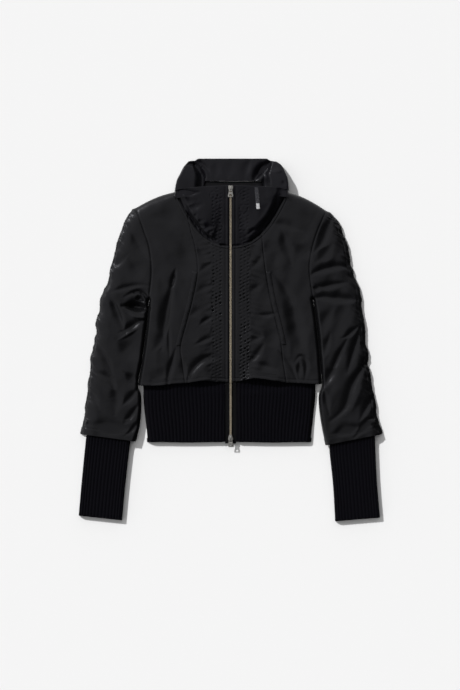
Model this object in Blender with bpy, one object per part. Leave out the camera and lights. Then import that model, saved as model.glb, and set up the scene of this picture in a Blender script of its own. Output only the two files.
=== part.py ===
"""A cropped satin jacket with a funnel collar, smocked bands beside a two-way zip, and rib knit hem and cuffs.

It lies on its back on a flat floor. Sizes are millimetres, turned into metres where a mesh is made.
+X is the wearer's left, +Y runs from the hem to the collar, and +Z is up, away from the floor.
"right" and "left" in names are the wearer's.
"""
import math

import bmesh
import bpy
from mathutils import Vector

MM = 0.001
COLLECTION = "cropped_satin_jacket"

# Cloth
SHELL_WALL = 2.0          # satin with its lining
BACK_WALL = 1.6           # the back, pressed flat by the jacket's own weight
KNIT_WALL = 2.6           # rib knit, without its raised ribs
COLLAR_WALL = 2.6         # two layers of satin and an interfacing
COLLAR_BACK_WALL = 1.8
SEAM_GAP = 0.4            # between neighbouring pieces
OVER_BACK = BACK_WALL + SEAM_GAP
LOFT = 21.0               # height of the front's face above the floor
SLEEVE_LOFT = 20.0
KNIT_LOFT = 11.4
EDGE_ROLL = 30.0          # how far in from a folded edge the cloth reaches its full height
# The sleeve's height starts beside the armhole, and the shoulder's edge rolls tighter towards the neck
SLEEVE_START = 170.0
SLEEVE_BLEND = 40.0
NECK_ROLL = 13.0
NECK_ROLL_END = 110.0
NECK_ROLL_BLEND = 60.0
ROLL_START = 0.3          # flat rim of the fold itself

# Neck and collar
NECK_CENTRE_Y = 198.0     # the neck seam at the zip
NECK_DEPTH = 119.0        # from there up to the shoulder's neck point
NECK_POWER = 2.4          # how square the neck curve is
NECK_HALF = {"right": 118.0, "left": 122.0}
LIP_Y = 325.5             # the collar's front edge at the zip
LIP_DROP = 4.5            # how much lower that edge is at the collar's sides
LIP_Z = 33.0
COLLAR_FOOT_Z = 16.0      # least height of the collar's plain part where it starts
COLLAR_STEP = 1.7         # the collar's foot stands this far inside the neck seam
COLLAR_SLOPE = {"right": 15.0, "left": 25.0}    # width of the steep strip that rises from the neck seam

# Zipped front
ZIP_EDGE = 3.4            # from the zip's middle to the smocked bands' flat edge
PLACKET = 14.0            # where the smocking starts
BAND_EDGE = 48.0          # where it ends
BLEND = 46.0              # from the band's flat edge out to the front's full height
BAND_HEM_RISE = 5.0       # the bands end this much higher than the fronts' side edges
PUCKER_ROWS_BODY = 20
PUCKER_ROWS_COLLAR = 9
PUCKER_COLUMNS = 3
PUCKER_RISE = 1.3
ZIP_TOP_Y = 326.0
ZIP_FOOT_Y = -222.0
CHAIN_HALF = 2.6
TAPE_HALF = 11.7
TAPE_WALL = 0.9
TAPE_DROP = 0.5           # from the bands' underside down to the tape
CHAIN_RISE = 0.5          # the teeth stand this far over the bands' face
CHAIN_WALL = 2.6

# Rib knit
RIB_PITCH_HEM = 7.6
RIB_PITCH_CUFF = 6.3
RIB_RISE = 0.9
HEM_RIB_FOOT_Y = -219.0

# Height of the zip's line above the floor: y, z
ZIP_LINE = (
    (-222.0, 11.8),
    (-112.0, 12.0),
    (-92.0, 15.0),
    (-40.0, 18.5),
    (60.0, 21.0),
    (190.0, 22.0),
    (240.0, 27.0),
    (290.0, 32.5),
    (326.0, 35.0),
)

# Fronts, hem to neck: y, side or armhole x, princess seam x. The last seam point lies on the neck seam.
FRONT_SECTIONS = {
    "right": (
        (-96.0, -195.0, -97.0),
        (-48.0, -187.0, -103.0),
        (-14.0, -182.0, -106.0),
        (37.0, -176.5, -93.0),
        (85.0, -174.0, -80.5),
        (144.0, -168.0, -70.0),
        (196.0, -173.0, -75.0),
        (230.0, -184.0, -84.0),
        (262.0, -195.0, -91.5),
    ),
    "left": (
        (-94.0, 192.0, 119.0),
        (-48.0, 189.5, 112.0),
        (-12.0, 187.0, 108.0),
        (37.0, 181.5, 97.0),
        (85.0, 176.0, 85.0),
        (144.0, 168.0, 75.0),
        (180.0, 171.0, 70.5),
        (206.0, 177.0, 68.0),
        (230.0, 185.0, 67.0),
    ),
}
# Armhole above the last section, up to the shoulder point: x, y
ARMHOLE_TOP = {
    "right": ((-199.0, 274.0), (-202.0, 281.5)),
    "left": ((196.0, 256.0), (204.5, 275.0)),
}
SHOULDER_BULGE = 4.5
POCKET_SECTIONS = (2, 5)   # a welt runs between these rows of FRONT_SECTIONS
WELT_WIDTH = 11.0
WELT_WALL = 1.5

# Sleeves below the armpit, hem to armpit: inner x, inner y, outer x, outer y
SLEEVE_SECTIONS = {
    "right": (
        (-202.0, -217.0, -321.0, -201.0),
        (-193.5, -185.0, -315.5, -177.0),
        (-190.0, -148.0, -309.0, -144.0),
        (-191.0, -116.0, -304.5, -108.0),
        (-197.0, -96.0, -301.0, -78.0),
        (-189.0, -48.0, -296.0, -40.0),
        (-183.4, -8.0, -290.5, -4.0),
        (-178.0, 40.0, -285.0, 42.0),
    ),
    "left": (
        (202.0, -225.0, 321.0, -201.0),
        (194.0, -187.0, 315.5, -177.0),
        (188.5, -150.0, 309.0, -146.0),
        (187.5, -118.0, 303.0, -110.0),
        (194.0, -94.0, 297.0, -78.0),
        (191.0, -48.0, 291.5, -40.0),
        (188.0, -8.0, 287.0, -2.0),
        (183.0, 38.0, 283.0, 42.0),
    ),
}
# Sleeves' outer edge beside the armhole, one row for each armhole section from the armpit up: x, y
SLEEVE_CAP = {
    "right": ((-277.0, 82.0), (-259.0, 146.0), (-241.0, 200.0), (-230.0, 233.0), (-219.0, 259.0),
              (-214.0, 271.0), (-210.5, 278.5)),
    "left": ((278.0, 82.0), (258.5, 146.0), (249.5, 182.0), (243.0, 208.0), (233.0, 234.0),
             (223.0, 256.0), (213.5, 271.5)),
}
RUCHE_RISE = 2.2          # gathers along the sleeves' outer seams
RUCHE_REACH = 26.0

# Cuffs, inside the sleeve to the hand: outer x, outer y, inner x, inner y, height of the underside
CUFF_SECTIONS = {
    "right": (
        (-304.5, -184.0, -212.0, -195.0, 2.1),
        (-308.0, -206.0, -214.5, -218.0, 2.1),
        (-310.5, -226.0, -216.5, -236.0, 0.0),
        (-318.0, -302.0, -225.0, -310.0, 0.0),
        (-324.5, -376.0, -232.0, -386.0, 0.0),
    ),
    "left": (
        (306.0, -184.0, 210.5, -200.0, 2.1),
        (308.0, -206.0, 212.0, -222.0, 2.1),
        (308.8, -228.0, 211.5, -240.0, 0.0),
        (312.5, -304.0, 219.0, -312.0, 0.0),
        (319.0, -380.0, 223.5, -388.0, 0.0),
    ),
}
CUFF_THICKNESS = 12.0

# Rib hem: y, right side x, left side x
HEM_RIB_SECTIONS = (
    (-219.0, -177.0, 171.0),
    (-162.0, -182.0, 176.0),
    (-107.0, -186.5, 181.0),
    (-72.0, -185.5, 180.0),
)
HEM_RIB_ZIP_EDGE = 12.2

# Inside of the collar's back, lip to rim: rim x, rim y, rim z, crease x, crease y, for right then left, middle y
COLLAR_BACK_SECTIONS = (
    (-118.0, 323.5, 28.0, -62.0, 319.0, 123.0, 324.0, 29.0, 74.0, 319.0, 338.0),
    (-113.5, 338.0, 25.0, -63.0, 338.0, 121.0, 341.0, 26.0, 74.5, 336.0, 350.0),
    (-106.5, 353.0, 20.0, -67.0, 354.0, 115.0, 357.0, 22.0, 72.0, 351.0, 363.0),
    (-99.0, 368.0, 14.0, -74.0, 367.0, 108.0, 371.0, 15.0, 80.0, 364.0, 375.0),
    (-88.0, 381.0, 8.0, -78.0, 382.0, 97.0, 380.0, 8.0, 86.0, 382.0, 386.5),
)
COLLAR_SHELF = 1.8        # the collar's back lies flat at this height
COLLAR_FOOT_SPREAD = 1.0  # the foot of its turned sides stands this far outside the rim

# Facing inside the back of the neck, and the ribbon tab
FACING_X = (-53.0, 65.0)
FACING_Y = (262.0, 337.4)
FACING_WALL = 1.2
TAB_X = (60.5, 52.5)
TAB_Y = (275.0, 322.0)
TAB_LEAN = 0.08           # the tab follows the smocked band's slant
TAB_WALL = 0.8
SEWN_ON_RISE = 0.3        # a tab or welt clears the cloth's bumps by this much

# Largest folds of the front and sleeves: from x, y to x, y, half width, height (a trough is negative)
FOLDS = (
    (-116.0, 140.0, -139.0, 60.0, 9.0, -6.0),
    (-139.0, 60.0, -137.0, -60.0, 9.0, -5.0),
    (-152.0, 120.0, -158.0, -40.0, 14.0, 3.0),
    (-83.0, -74.0, -48.0, -46.0, 8.0, -4.0),
    (-84.0, -50.0, -60.0, -20.0, 12.0, 2.5),
    (104.0, 125.0, 146.0, 30.0, 12.0, -4.0),
    (146.0, 30.0, 158.0, -50.0, 10.0, -4.0),
    (118.0, 60.0, 132.0, -60.0, 12.0, 2.5),
    (62.0, -44.0, 40.0, -18.0, 8.0, -3.5),
    (-262.0, 112.0, -190.0, 106.0, 10.0, -4.5),
    (-244.0, 76.0, -186.0, 66.0, 9.0, -6.5),
    (-286.0, 40.0, -210.0, 30.0, 12.0, 3.0),
    (-272.0, -20.0, -200.0, 34.0, 11.0, -4.5),
    (-290.0, -70.0, -206.0, -26.0, 12.0, -4.0),
    (-296.0, -130.0, -226.0, -110.0, 12.0, -3.5),
    (182.0, 146.0, 240.0, 156.0, 9.0, -5.0),
    (184.0, 118.0, 256.0, 120.0, 10.0, -5.0),
    (188.0, 84.0, 262.0, 96.0, 12.0, 3.0),
    (206.0, -20.0, 274.0, 30.0, 12.0, -4.5),
    (214.0, -80.0, 284.0, -20.0, 12.0, -4.0),
    (232.0, -150.0, 296.0, -80.0, 14.0, -3.5),
)

# Zip hardware
SLIDER_Y = {"top": 320.0, "bottom": -209.0}
SLIDER_LENGTH = 12.0
SLIDER_WIDTH = 10.0
PLATE = 1.4
PLATE_LIFT = 0.9          # from the bands' face up to the slider's upper plate
BRIDGE_WIDTH = 2.8
BRIDGE_REACH = 4.2
BRIDGE_WALL = 1.2
PULL_BAR_RADIUS = 0.8
PULL_CLEARANCE = 0.3
PULL_LENGTH = 17.0
PULL_HEAD = 7.0
PULL_TIP = 10.5

# Material colours from the photo: linear colour, roughness, metallic
FINISHES = {
    "black_satin": ((0.013, 0.013, 0.014), 0.34, 0.0),
    "collar_satin": ((0.011, 0.011, 0.014), 0.38, 0.0),
    "black_rib_knit": ((0.005, 0.005, 0.006), 0.92, 0.0),
    "zip_tape": ((0.007, 0.007, 0.008), 0.85, 0.0),
    "aged_brass": ((0.24, 0.20, 0.14), 0.38, 1.0),
    "nickel": ((0.55, 0.53, 0.50), 0.25, 1.0),
    "tab_ribbon": ((0.028, 0.028, 0.032), 0.55, 0.0),
}


# ---------------------------------------------------------------- curves and heights

def smooth(t):
    t = min(max(t, 0.0), 1.0)
    return t * t * (3.0 - 2.0 * t)


def mix(a, b, t):
    return a + (b - a) * t


def spline(rows, t):
    """Point on the smooth curve through the rows, with t counted in rows."""
    i = min(max(int(t), 0), len(rows) - 2)
    f = t - i
    before = rows[max(i - 1, 0)]
    start = rows[i]
    end = rows[i + 1]
    after = rows[min(i + 2, len(rows) - 1)]
    point = []
    for p0, p1, p2, p3 in zip(before, start, end, after):
        slope_in = (p2 - p0) / 2.0
        slope_out = (p3 - p1) / 2.0
        point.append(
            p1 * (1.0 + 2.0 * f) * (1.0 - f) ** 2 + p2 * (3.0 - 2.0 * f) * f * f
            + slope_in * f * (1.0 - f) ** 2 - slope_out * f * f * (1.0 - f)
        )
    return point


def segment_distance(x, y, a, b):
    """Distance to the segment from a to b, and how far along it the nearest point lies."""
    dx = b[0] - a[0]
    dy = b[1] - a[1]
    along = ((x - a[0]) * dx + (y - a[1]) * dy) / (dx * dx + dy * dy)
    along = min(max(along, 0.0), 1.0)
    return math.hypot(x - a[0] - along * dx, y - a[1] - along * dy), along


def line_distance(x, y, points):
    return min(segment_distance(x, y, a, b)[0] for a, b in zip(points, points[1:]))


def roll(distance, width):
    """0 at a folded edge, rising round a quarter of an ellipse to 1."""
    t = min(max((distance - ROLL_START) / width, 0.0), 1.0)
    return math.sqrt(1.0 - (1.0 - t) ** 2)


def side_of(x):
    return "left" if x > 0.0 else "right"


def sign_of(side):
    return 1.0 if side == "left" else -1.0


def neck_y(x):
    return NECK_CENTRE_Y + NECK_DEPTH * (abs(x) / NECK_HALF[side_of(x)]) ** NECK_POWER


def lip_y(x):
    return LIP_Y - LIP_DROP * (x / NECK_HALF[side_of(x)]) ** 2


def zip_z(y):
    for (y0, z0), (y1, z1) in zip(ZIP_LINE, ZIP_LINE[1:]):
        if y <= y1:
            return mix(z0, z1, smooth((y - y0) / (y1 - y0)) * 0.5 + (y - y0) / (y1 - y0) * 0.5)
    return ZIP_LINE[-1][1]


def side_rows(side):
    """The side edge and armhole, from the hem to the shoulder point."""
    rows = [(x, y) for y, x, seam in FRONT_SECTIONS[side]]
    return rows + list(ARMHOLE_TOP[side])


def seam_rows(side):
    """The princess seam from the hem to the neck, then the neck seam to the shoulder."""
    rows = [(seam, y) for y, x, seam in FRONT_SECTIONS[side][:-1]]
    start = FRONT_SECTIONS[side][-1][2]
    end = sign_of(side) * (NECK_HALF[side] - 0.5)
    steps = len(ARMHOLE_TOP[side])
    for i in range(steps + 1):
        x = mix(start, end, i / steps)
        rows.append((x, neck_y(x)))
    return rows


ARMPIT_ROW = 4


def sleeve_inner(side, t):
    """Inner edge of the sleeve: its own below the armpit, the armhole above."""
    lower = [row[:2] for row in SLEEVE_SECTIONS[side]]
    count = len(lower)
    if t >= count:
        return spline(side_rows(side), ARMPIT_ROW + t - count)
    armpit = side_rows(side)[ARMPIT_ROW]
    return spline(lower + [armpit], t)


def sleeve_outer(side, t):
    rows = [row[2:] for row in SLEEVE_SECTIONS[side]] + list(SLEEVE_CAP[side])
    return spline(rows, t)


def sleeve_rows(side):
    return len(SLEEVE_SECTIONS[side]) + len(SLEEVE_CAP[side]) - 1


def shoulder_point(side, u):
    """The shoulder line, from the armhole at u = 0 to the neck at u = 1."""
    outer = side_rows(side)[-1]
    inner = seam_rows(side)[-1]
    return mix(outer[0], inner[0], u), mix(outer[1], inner[1], u) + SHOULDER_BULGE * math.sin(math.pi * u)


def folded_edge(side):
    """Outline of the jacket's face: the shoulder line and the sleeve's outer seam."""
    points = [shoulder_point(side, 1.0 - i / 8) for i in range(9)]
    count = sleeve_rows(side)
    points += [sleeve_outer(side, count - i / 3) for i in range(count * 3 + 1)]
    return points


def side_gap(side):
    """Where the sleeve and the body part: from the armpit down to the sleeve's hem."""
    count = len(SLEEVE_SECTIONS[side])
    return [sleeve_inner(side, count - i / 3) for i in range(count * 3 + 1)]


FOLDED_EDGE = {side: folded_edge(side) for side in ("right", "left")}
SIDE_GAP = {side: side_gap(side) for side in ("right", "left")}


def folds(x, y):
    """The deepest trough and the highest ridge at x, y."""
    heights = [0.0]
    for x0, y0, x1, y1, width, height in FOLDS:
        distance, along = segment_distance(x, y, (x0, y0), (x1, y1))
        heights.append(height * math.exp(-(distance / width) ** 2))
    return min(heights) + max(heights)


def face_z(x, y):
    """Height of the outer face of the fronts and sleeves."""
    side = side_of(x)
    on_sleeve = smooth((abs(x) - SLEEVE_START) / SLEEVE_BLEND)
    top = mix(LOFT, SLEEVE_LOFT, on_sleeve) + folds(x, y)
    top = mix(zip_z(y), top, smooth((abs(x) - PLACKET) / BLEND))
    edge_width = mix(NECK_ROLL, EDGE_ROLL, smooth((abs(x) - NECK_ROLL_END) / NECK_ROLL_BLEND))
    lift = roll(line_distance(x, y, FOLDED_EDGE[side]), edge_width)
    lift *= roll(line_distance(x, y, SIDE_GAP[side]), EDGE_ROLL)
    return OVER_BACK + max(top - OVER_BACK, 0.0) * lift


def neck_lean(x):
    """Ratio of the distance square to the neck seam to the distance along y."""
    half = NECK_HALF[side_of(x)]
    slope = NECK_DEPTH * NECK_POWER / half * (abs(x) / half) ** (NECK_POWER - 1.0)
    return 1.0 / math.hypot(1.0, slope)


def collar_foot(x):
    return neck_y(x) + COLLAR_STEP / max(neck_lean(x), 0.6)


def collar_z(x, y):
    """Height of the outer face of the collar's front."""
    foot = collar_foot(x)
    reach = max(lip_y(x) - foot, 4.0)
    lean = neck_lean(x)
    slope = mix(reach, COLLAR_SLOPE[side_of(x)], smooth((abs(x) - PLACKET) / BLEND))
    rise = smooth((y - foot) * lean / min(slope, reach * lean * 0.95))
    start = face_z(x, foot)
    plain = mix(max(start, COLLAR_FOOT_Z), LIP_Z, rise)
    return mix(zip_z(y), plain, smooth((abs(x) - PLACKET) / BLEND))


# ---------------------------------------------------------------- meshes

def finish(name):
    material = bpy.data.materials.get(name)
    if material is None:
        colour, roughness, metallic = FINISHES[name]
        material = bpy.data.materials.new(name)
        material.use_nodes = True
        shader = material.node_tree.nodes["Principled BSDF"]
        shader.inputs["Base Color"].default_value = (*colour, 1.0)
        shader.inputs["Roughness"].default_value = roughness
        shader.inputs["Metallic"].default_value = metallic
        material.diffuse_color = (*colour, 1.0)
    return material


def place_object(name, mesh, material, collection):
    mesh.materials.clear()
    mesh.materials.append(finish(material))
    item = bpy.data.objects.new(name, mesh)
    collection.objects.link(item)
    return item


def surface_normal(surface, u, v, du, dv):
    """Normal of the surface at u, v, from points du and dv to either side."""
    u0 = max(u - du, 0.0)
    u1 = min(u + du, 1.0)
    v0 = max(v - dv, 0.0)
    v1 = min(v + dv, 1.0)
    across = Vector(surface(u1, v)) - Vector(surface(u0, v))
    along = Vector(surface(u, v1)) - Vector(surface(u, v0))
    normal = across.cross(along)
    if normal.length == 0.0:
        return Vector((0.0, 0.0, 1.0))
    return normal.normalized()


def cloth(name, surface, across, along, wall, material, collection, relief=None, floor=0.0, nudge=(0.02, 0.01)):
    """A wall of cloth under the surface(u, v), at the given u and v values, no lower than the floor.

    The grid is the plain inside, and its extruded copy is the face, where relief(column, row) is raised.
    """
    upward = 1.0 if surface_normal(surface, 0.5, 0.5, *nudge).z > 0.0 else -1.0
    columns = len(across) - 1
    rows = len(along) - 1
    mesh = bmesh.new()
    bmesh.ops.create_grid(mesh, x_segments=columns, y_segments=rows, size=0.5)

    def cell(vertex):
        return round((vertex.co.x + 0.5) * columns), round((vertex.co.y + 0.5) * rows)

    inside = {cell(vertex): vertex for vertex in mesh.verts}
    made = bmesh.ops.extrude_face_region(mesh, geom=list(mesh.faces))
    outside = {cell(item): item for item in made["geom"] if isinstance(item, bmesh.types.BMVert)}
    for column, row in inside:
        u = across[column]
        v = along[row]
        point = Vector(surface(u, v))
        normal = surface_normal(surface, u, v, *nudge) * upward
        raised = relief(column, row) if relief else 0.0
        under = point - normal * wall
        under.z = max(under.z, floor)
        inside[(column, row)].co = under * MM
        outside[(column, row)].co = (point + normal * raised) * MM
    return place_object(name, closed_mesh(name, mesh), material, collection)


def closed_mesh(name, mesh):
    """Mesh data with every face turned outwards."""
    bmesh.ops.recalc_face_normals(mesh, faces=mesh.faces)
    if mesh.calc_volume(signed=True) < 0.0:
        bmesh.ops.reverse_faces(mesh, faces=mesh.faces)
    data = bpy.data.meshes.new(name)
    mesh.to_mesh(data)
    mesh.free()
    return data


def even(count, start=0.0, end=1.0):
    return [mix(start, end, i / count) for i in range(count + 1)]


def eased(count, start=0.0, end=1.0):
    """Values that are closer together near the start."""
    return [mix(start, end, 1.0 - math.cos(math.pi / 2.0 * i / count)) for i in range(count + 1)]


def seam_inset(u, width, start=True, end=True):
    """u moved in by half the seam gap at the ends that are sewn."""
    half = SEAM_GAP / 2.0 / width
    low = half if start else 0.0
    high = 1.0 - half if end else 1.0
    return mix(low, high, u)


# ---------------------------------------------------------------- fronts and back

def front_side(side, collection):
    """Side front: side edge and armhole at u = 0, princess and neck seam at u = 1."""
    sides = side_rows(side)
    seams = seam_rows(side)
    last = len(sides) - 1
    shoulder_start = (last - len(ARMHOLE_TOP[side])) / last

    def surface(u, v):
        x0, y0 = spline(sides, v * last)
        x1, y1 = spline(seams, v * last)
        sewn = seam_inset(u, abs(x1 - x0), start=v * last > ARMPIT_ROW)
        x = mix(x0, x1, sewn)
        y = mix(y0, y1, sewn)
        y += SHOULDER_BULGE * math.sin(math.pi * u) * smooth((v - shoulder_start) / (1.0 - shoulder_start))
        return x, y, face_z(x, y)

    width = abs(sides[5][0] - seams[5][0])
    across = eased(6, 0.0, 0.5) + even(5, 0.5, 1.0 - WELT_WIDTH / width)[1:] + [1.0]
    return cloth("front_side_" + side, surface, across, even(last * 2), SHELL_WALL, "black_satin", collection,
                 floor=OVER_BACK)


def front_centre(side, collection):
    """Centre front: princess seam at u = 0, smocked band at u = 1, neck seam at v = 1."""
    sections = FRONT_SECTIONS[side]
    seams = seam_rows(side)
    last = len(sections) - 1
    band_x = sign_of(side) * BAND_EDGE
    band_top = neck_y(band_x)
    hem = sections[0][0]
    seam_top = seams[last][1]

    def surface(u, v):
        x0, y0 = spline(seams, v * last)
        y1 = mix(hem + BAND_HEM_RISE, band_top, (y0 - hem) / (seam_top - hem))
        sewn = seam_inset(u, abs(x0 - band_x))
        x = mix(x0, band_x, sewn)
        y = mix(y0, y1, sewn)
        top_x = mix(seams[last][0], band_x, sewn)
        top_line = mix(seam_top, band_top, sewn)
        y += (neck_y(top_x) - top_line - SEAM_GAP / 2.0) * v ** 3
        return x, y, face_z(x, y)

    return cloth("front_centre_" + side, surface, even(6), even(last * 2), SHELL_WALL, "black_satin", collection)


def pucker(column, row, first_column):
    """Smocking: raised points in a diamond lattice, flat on the placket."""
    if column < first_column:
        return 0.0
    return PUCKER_RISE if (column + row) % 2 else 0.0


def band_columns():
    """Across a band: the flat edge beside the zip, then two steps for each pucker."""
    width = BAND_EDGE - ZIP_EDGE
    flat = (PLACKET - ZIP_EDGE) / width
    return [0.0, flat * 0.55] + even(PUCKER_COLUMNS * 2, flat, 1.0)


def smocked_band(name, side, bottom, top, pucker_rows, height, wall, collection):
    """A smocked band: zip edge at u = 0, outer edge at u = 1."""
    sign = sign_of(side)
    flat_columns = 3

    def surface(u, v):
        sewn = seam_inset(u, BAND_EDGE - ZIP_EDGE, start=False)
        x = sign * mix(ZIP_EDGE, BAND_EDGE, sewn)
        y = mix(bottom(x), top(x), v)
        return x, y, height(x, y)

    def relief(column, row):
        return pucker(column, row, flat_columns)

    return cloth(name, surface, band_columns(), even(pucker_rows * 2), wall, "black_satin", collection, relief)


def body_bands(side, collection):
    hem = FRONT_SECTIONS[side][0][0] + BAND_HEM_RISE
    smocked_band(
        "smocked_band_" + side, side, lambda x: hem, lambda x: neck_y(x) - SEAM_GAP / 2.0,
        PUCKER_ROWS_BODY, face_z, SHELL_WALL, collection)


def back(collection):
    """The back, flat on the floor: hem at v = 0, shoulders and neck at v = 1."""
    right = side_rows("right")
    left = side_rows("left")
    last = len(right) - 1
    width = left[-1][0] - right[-1][0]
    neck_start = (seam_rows("right")[-1][0] - right[-1][0]) / width
    neck_end = (seam_rows("left")[-1][0] - right[-1][0]) / width

    def top(u):
        if u < neck_start:
            return shoulder_point("right", u / neck_start)[1]
        if u > neck_end:
            return shoulder_point("left", (1.0 - u) / (1.0 - neck_end))[1]
        return neck_y(seam_rows("right")[-1][0])

    def surface(u, v):
        x0, y0 = spline(right, v * last)
        x1, y1 = spline(left, v * last)
        gap = SEAM_GAP / 2.0 if v * last > ARMPIT_ROW else 0.0
        y = mix(y0, y1, u) + (top(u) - mix(right[-1][1], left[-1][1], u)) * v ** 4
        return mix(x0 + gap, x1 - gap, u), y, BACK_WALL

    across = even(3, 0.0, neck_start) + even(2, neck_start, neck_end)[1:] + even(3, neck_end, 1.0)[1:]
    return cloth("back", surface, across, even(last), BACK_WALL, "black_satin", collection)


def pocket_welt(side, collection):
    """A welt on the side front, beside the princess seam: its points, moved out."""
    seams = seam_rows(side)
    first, final = POCKET_SECTIONS
    sign = sign_of(side)

    def surface(u, v):
        x1, y1 = spline(seams, mix(first, final, v))
        x = x1 + sign * mix(WELT_WIDTH - 0.5, 0.6, u)
        return x, y1, face_z(x, y1) + SEAM_GAP + WELT_WALL + SEWN_ON_RISE

    return cloth("pocket_welt_" + side, surface, even(2), even((final - first) * 2), WELT_WALL, "black_satin",
                 collection)


# ---------------------------------------------------------------- collar

def collar_front(side, collection):
    """Plain part of the collar's front: smocked band at u = 0, the collar's side at u = 1."""
    sign = sign_of(side)
    end = NECK_HALF[side] - 2.0

    def surface(u, v):
        x = sign * mix(BAND_EDGE + SEAM_GAP / 2.0, end, u)
        foot = collar_foot(x)
        y = mix(foot, max(lip_y(x), foot + 2.0), v)
        return x, y, collar_z(x, y)

    return cloth("collar_front_" + side, surface, even(10), [0.0, 0.05, 0.12, 0.2, 0.3, 0.45, 0.62, 0.8, 1.0],
                 COLLAR_WALL, "collar_satin", collection)


def collar_bands(side, collection):
    smocked_band(
        "collar_band_" + side, side, collar_foot, lip_y,
        PUCKER_ROWS_COLLAR, collar_z, SHELL_WALL, collection)


def collar_back(collection):
    """Inside of the collar, seen through its mouth: a shelf between two facets that rise to the rim."""
    last = len(COLLAR_BACK_SECTIONS) - 1

    # u goes from the right foot over the rim at 0.1 to the crease at 0.3, and back the same way on the left.
    def surface(u, v):
        (rim_rx, rim_ry, rim_rz, crease_rx, crease_ry,
         rim_lx, rim_ly, rim_lz, crease_lx, crease_ly, middle_y) = spline(COLLAR_BACK_SECTIONS, v * last)
        foot_r = (rim_rx - COLLAR_FOOT_SPREAD, rim_ry, COLLAR_SHELF)
        foot_l = (rim_lx + COLLAR_FOOT_SPREAD, rim_ly, COLLAR_SHELF)
        rim_r = (rim_rx, rim_ry, rim_rz)
        rim_l = (rim_lx, rim_ly, rim_lz)
        crease_r = (crease_rx, crease_ry, COLLAR_SHELF + 1.0)
        crease_l = (crease_lx, crease_ly, COLLAR_SHELF + 1.0)
        if u <= 0.1:
            return [mix(a, b, u / 0.1) for a, b in zip(foot_r, rim_r)]
        if u <= 0.3:
            return [mix(a, b, (u - 0.1) / 0.2) for a, b in zip(rim_r, crease_r)]
        if u >= 0.9:
            return [mix(a, b, (u - 0.9) / 0.1) for a, b in zip(rim_l, foot_l)]
        if u >= 0.7:
            return [mix(a, b, (u - 0.7) / 0.2) for a, b in zip(crease_l, rim_l)]
        s = (u - 0.3) / 0.4
        x = mix(crease_rx, crease_lx, s)
        inner = smooth(min(s, 1.0 - s) / 0.06)
        y = mix(mix(crease_ry, crease_ly, s), middle_y, inner)
        return x, y, COLLAR_SHELF + 1.0 - inner

    across = [0.0, 0.1, 0.15, 0.2, 0.25, 0.3, 0.312] + even(8, 0.324, 0.676)
    across += [0.688, 0.7, 0.75, 0.8, 0.85, 0.9, 1.0]
    return cloth("collar_back", surface, across, even(last * 2), COLLAR_BACK_WALL, "collar_satin", collection)


def neck_facing(collection):
    """Facing inside the back of the neck, on the back's inner face."""
    def surface(u, v):
        return mix(*FACING_X, u), mix(*FACING_Y, v), OVER_BACK + FACING_WALL

    return cloth("neck_facing", surface, even(2), even(2), FACING_WALL, "collar_satin", collection)


def collar_tab(collection):
    """A plain ribbon tab on the collar's left front."""
    def surface(u, v):
        y = mix(*TAB_Y, v)
        x = mix(*TAB_X, u) + (sum(TAB_Y) / 2.0 - y) * TAB_LEAN
        return x, y, collar_z(x, y) + SEAM_GAP + TAB_WALL + SEWN_ON_RISE

    return cloth("collar_tab", surface, even(1), even(4), TAB_WALL, "tab_ribbon", collection)


# ---------------------------------------------------------------- sleeves and cuffs

def sleeve_front(side, collection):
    """Upper half of a sleeve: armhole and inner seam at u = 0, ruched outer seam at u = 1."""
    last = sleeve_rows(side)
    armpit = len(SLEEVE_SECTIONS[side])
    along = even(last * 2)

    def surface(u, v):
        x0, y0 = sleeve_inner(side, v * last)
        x1, y1 = sleeve_outer(side, v * last)
        sign = sign_of(side)
        x0 += sign * (SEAM_GAP / 2.0 if v * last >= armpit else 1.0)
        x = mix(x0, x1, u)
        y = mix(y0, y1, u)
        return x, y, face_z(x, y)

    across = eased(5, 0.0, 0.5) + [1.0 - value for value in reversed(eased(5, 0.0, 0.5))][1:]
    widths = [math.dist(sleeve_inner(side, v * last), sleeve_outer(side, v * last)) for v in along]

    def relief(column, row):
        distance = (1.0 - across[column]) * widths[row]
        if column in (0, len(across) - 1) or row in (0, len(along) - 1) or row % 2:
            return 0.0
        return RUCHE_RISE * math.exp(-distance / RUCHE_REACH)

    return cloth("sleeve_front_" + side, surface, across, along, SHELL_WALL, "black_satin", collection, relief,
                 floor=OVER_BACK)


def sleeve_back(side, collection):
    """Lower half of a sleeve, flat on the floor."""
    last = sleeve_rows(side)
    armpit = len(SLEEVE_SECTIONS[side])

    def surface(u, v):
        x0, y0 = sleeve_inner(side, v * last)
        x1, y1 = sleeve_outer(side, v * last)
        x0 += sign_of(side) * (SEAM_GAP / 2.0 if v * last >= armpit else 1.0)
        return mix(x0, x1, u), mix(y0, y1, u), BACK_WALL

    return cloth("sleeve_back_" + side, surface, even(2), even(last), BACK_WALL, "black_satin", collection)


def cuff(side, collection):
    """A rib knit tube, ribbed on its face and round its edges, plain where it rests."""
    sections = CUFF_SECTIONS[side]
    first = sections[1]
    width = math.dist(first[:2], first[2:4])
    ribs = round(width / RIB_PITCH_CUFF)
    top_steps = ribs * 2
    bottom_steps = 6
    rows = (0.0, 1.0, 1.5, 2.0, 3.0, 4.0)
    mesh = bmesh.new()
    rings = []
    for layer in ("face", "inside"):
        for row in rows:
            rings.append([mesh.verts.new(point * MM) for point in cuff_ring(sections, row, top_steps,
                                                                           bottom_steps, layer)])
    count = len(rows)
    face = rings[:count]
    inside = rings[count:]
    loops = face + inside[::-1] + [face[0]]
    for lower, upper in zip(loops, loops[1:]):
        for i in range(len(lower)):
            j = (i + 1) % len(lower)
            mesh.faces.new((lower[i], lower[j], upper[j], upper[i]))
    return place_object("cuff_" + side, closed_mesh("cuff_" + side, mesh), "black_rib_knit", collection)


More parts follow.
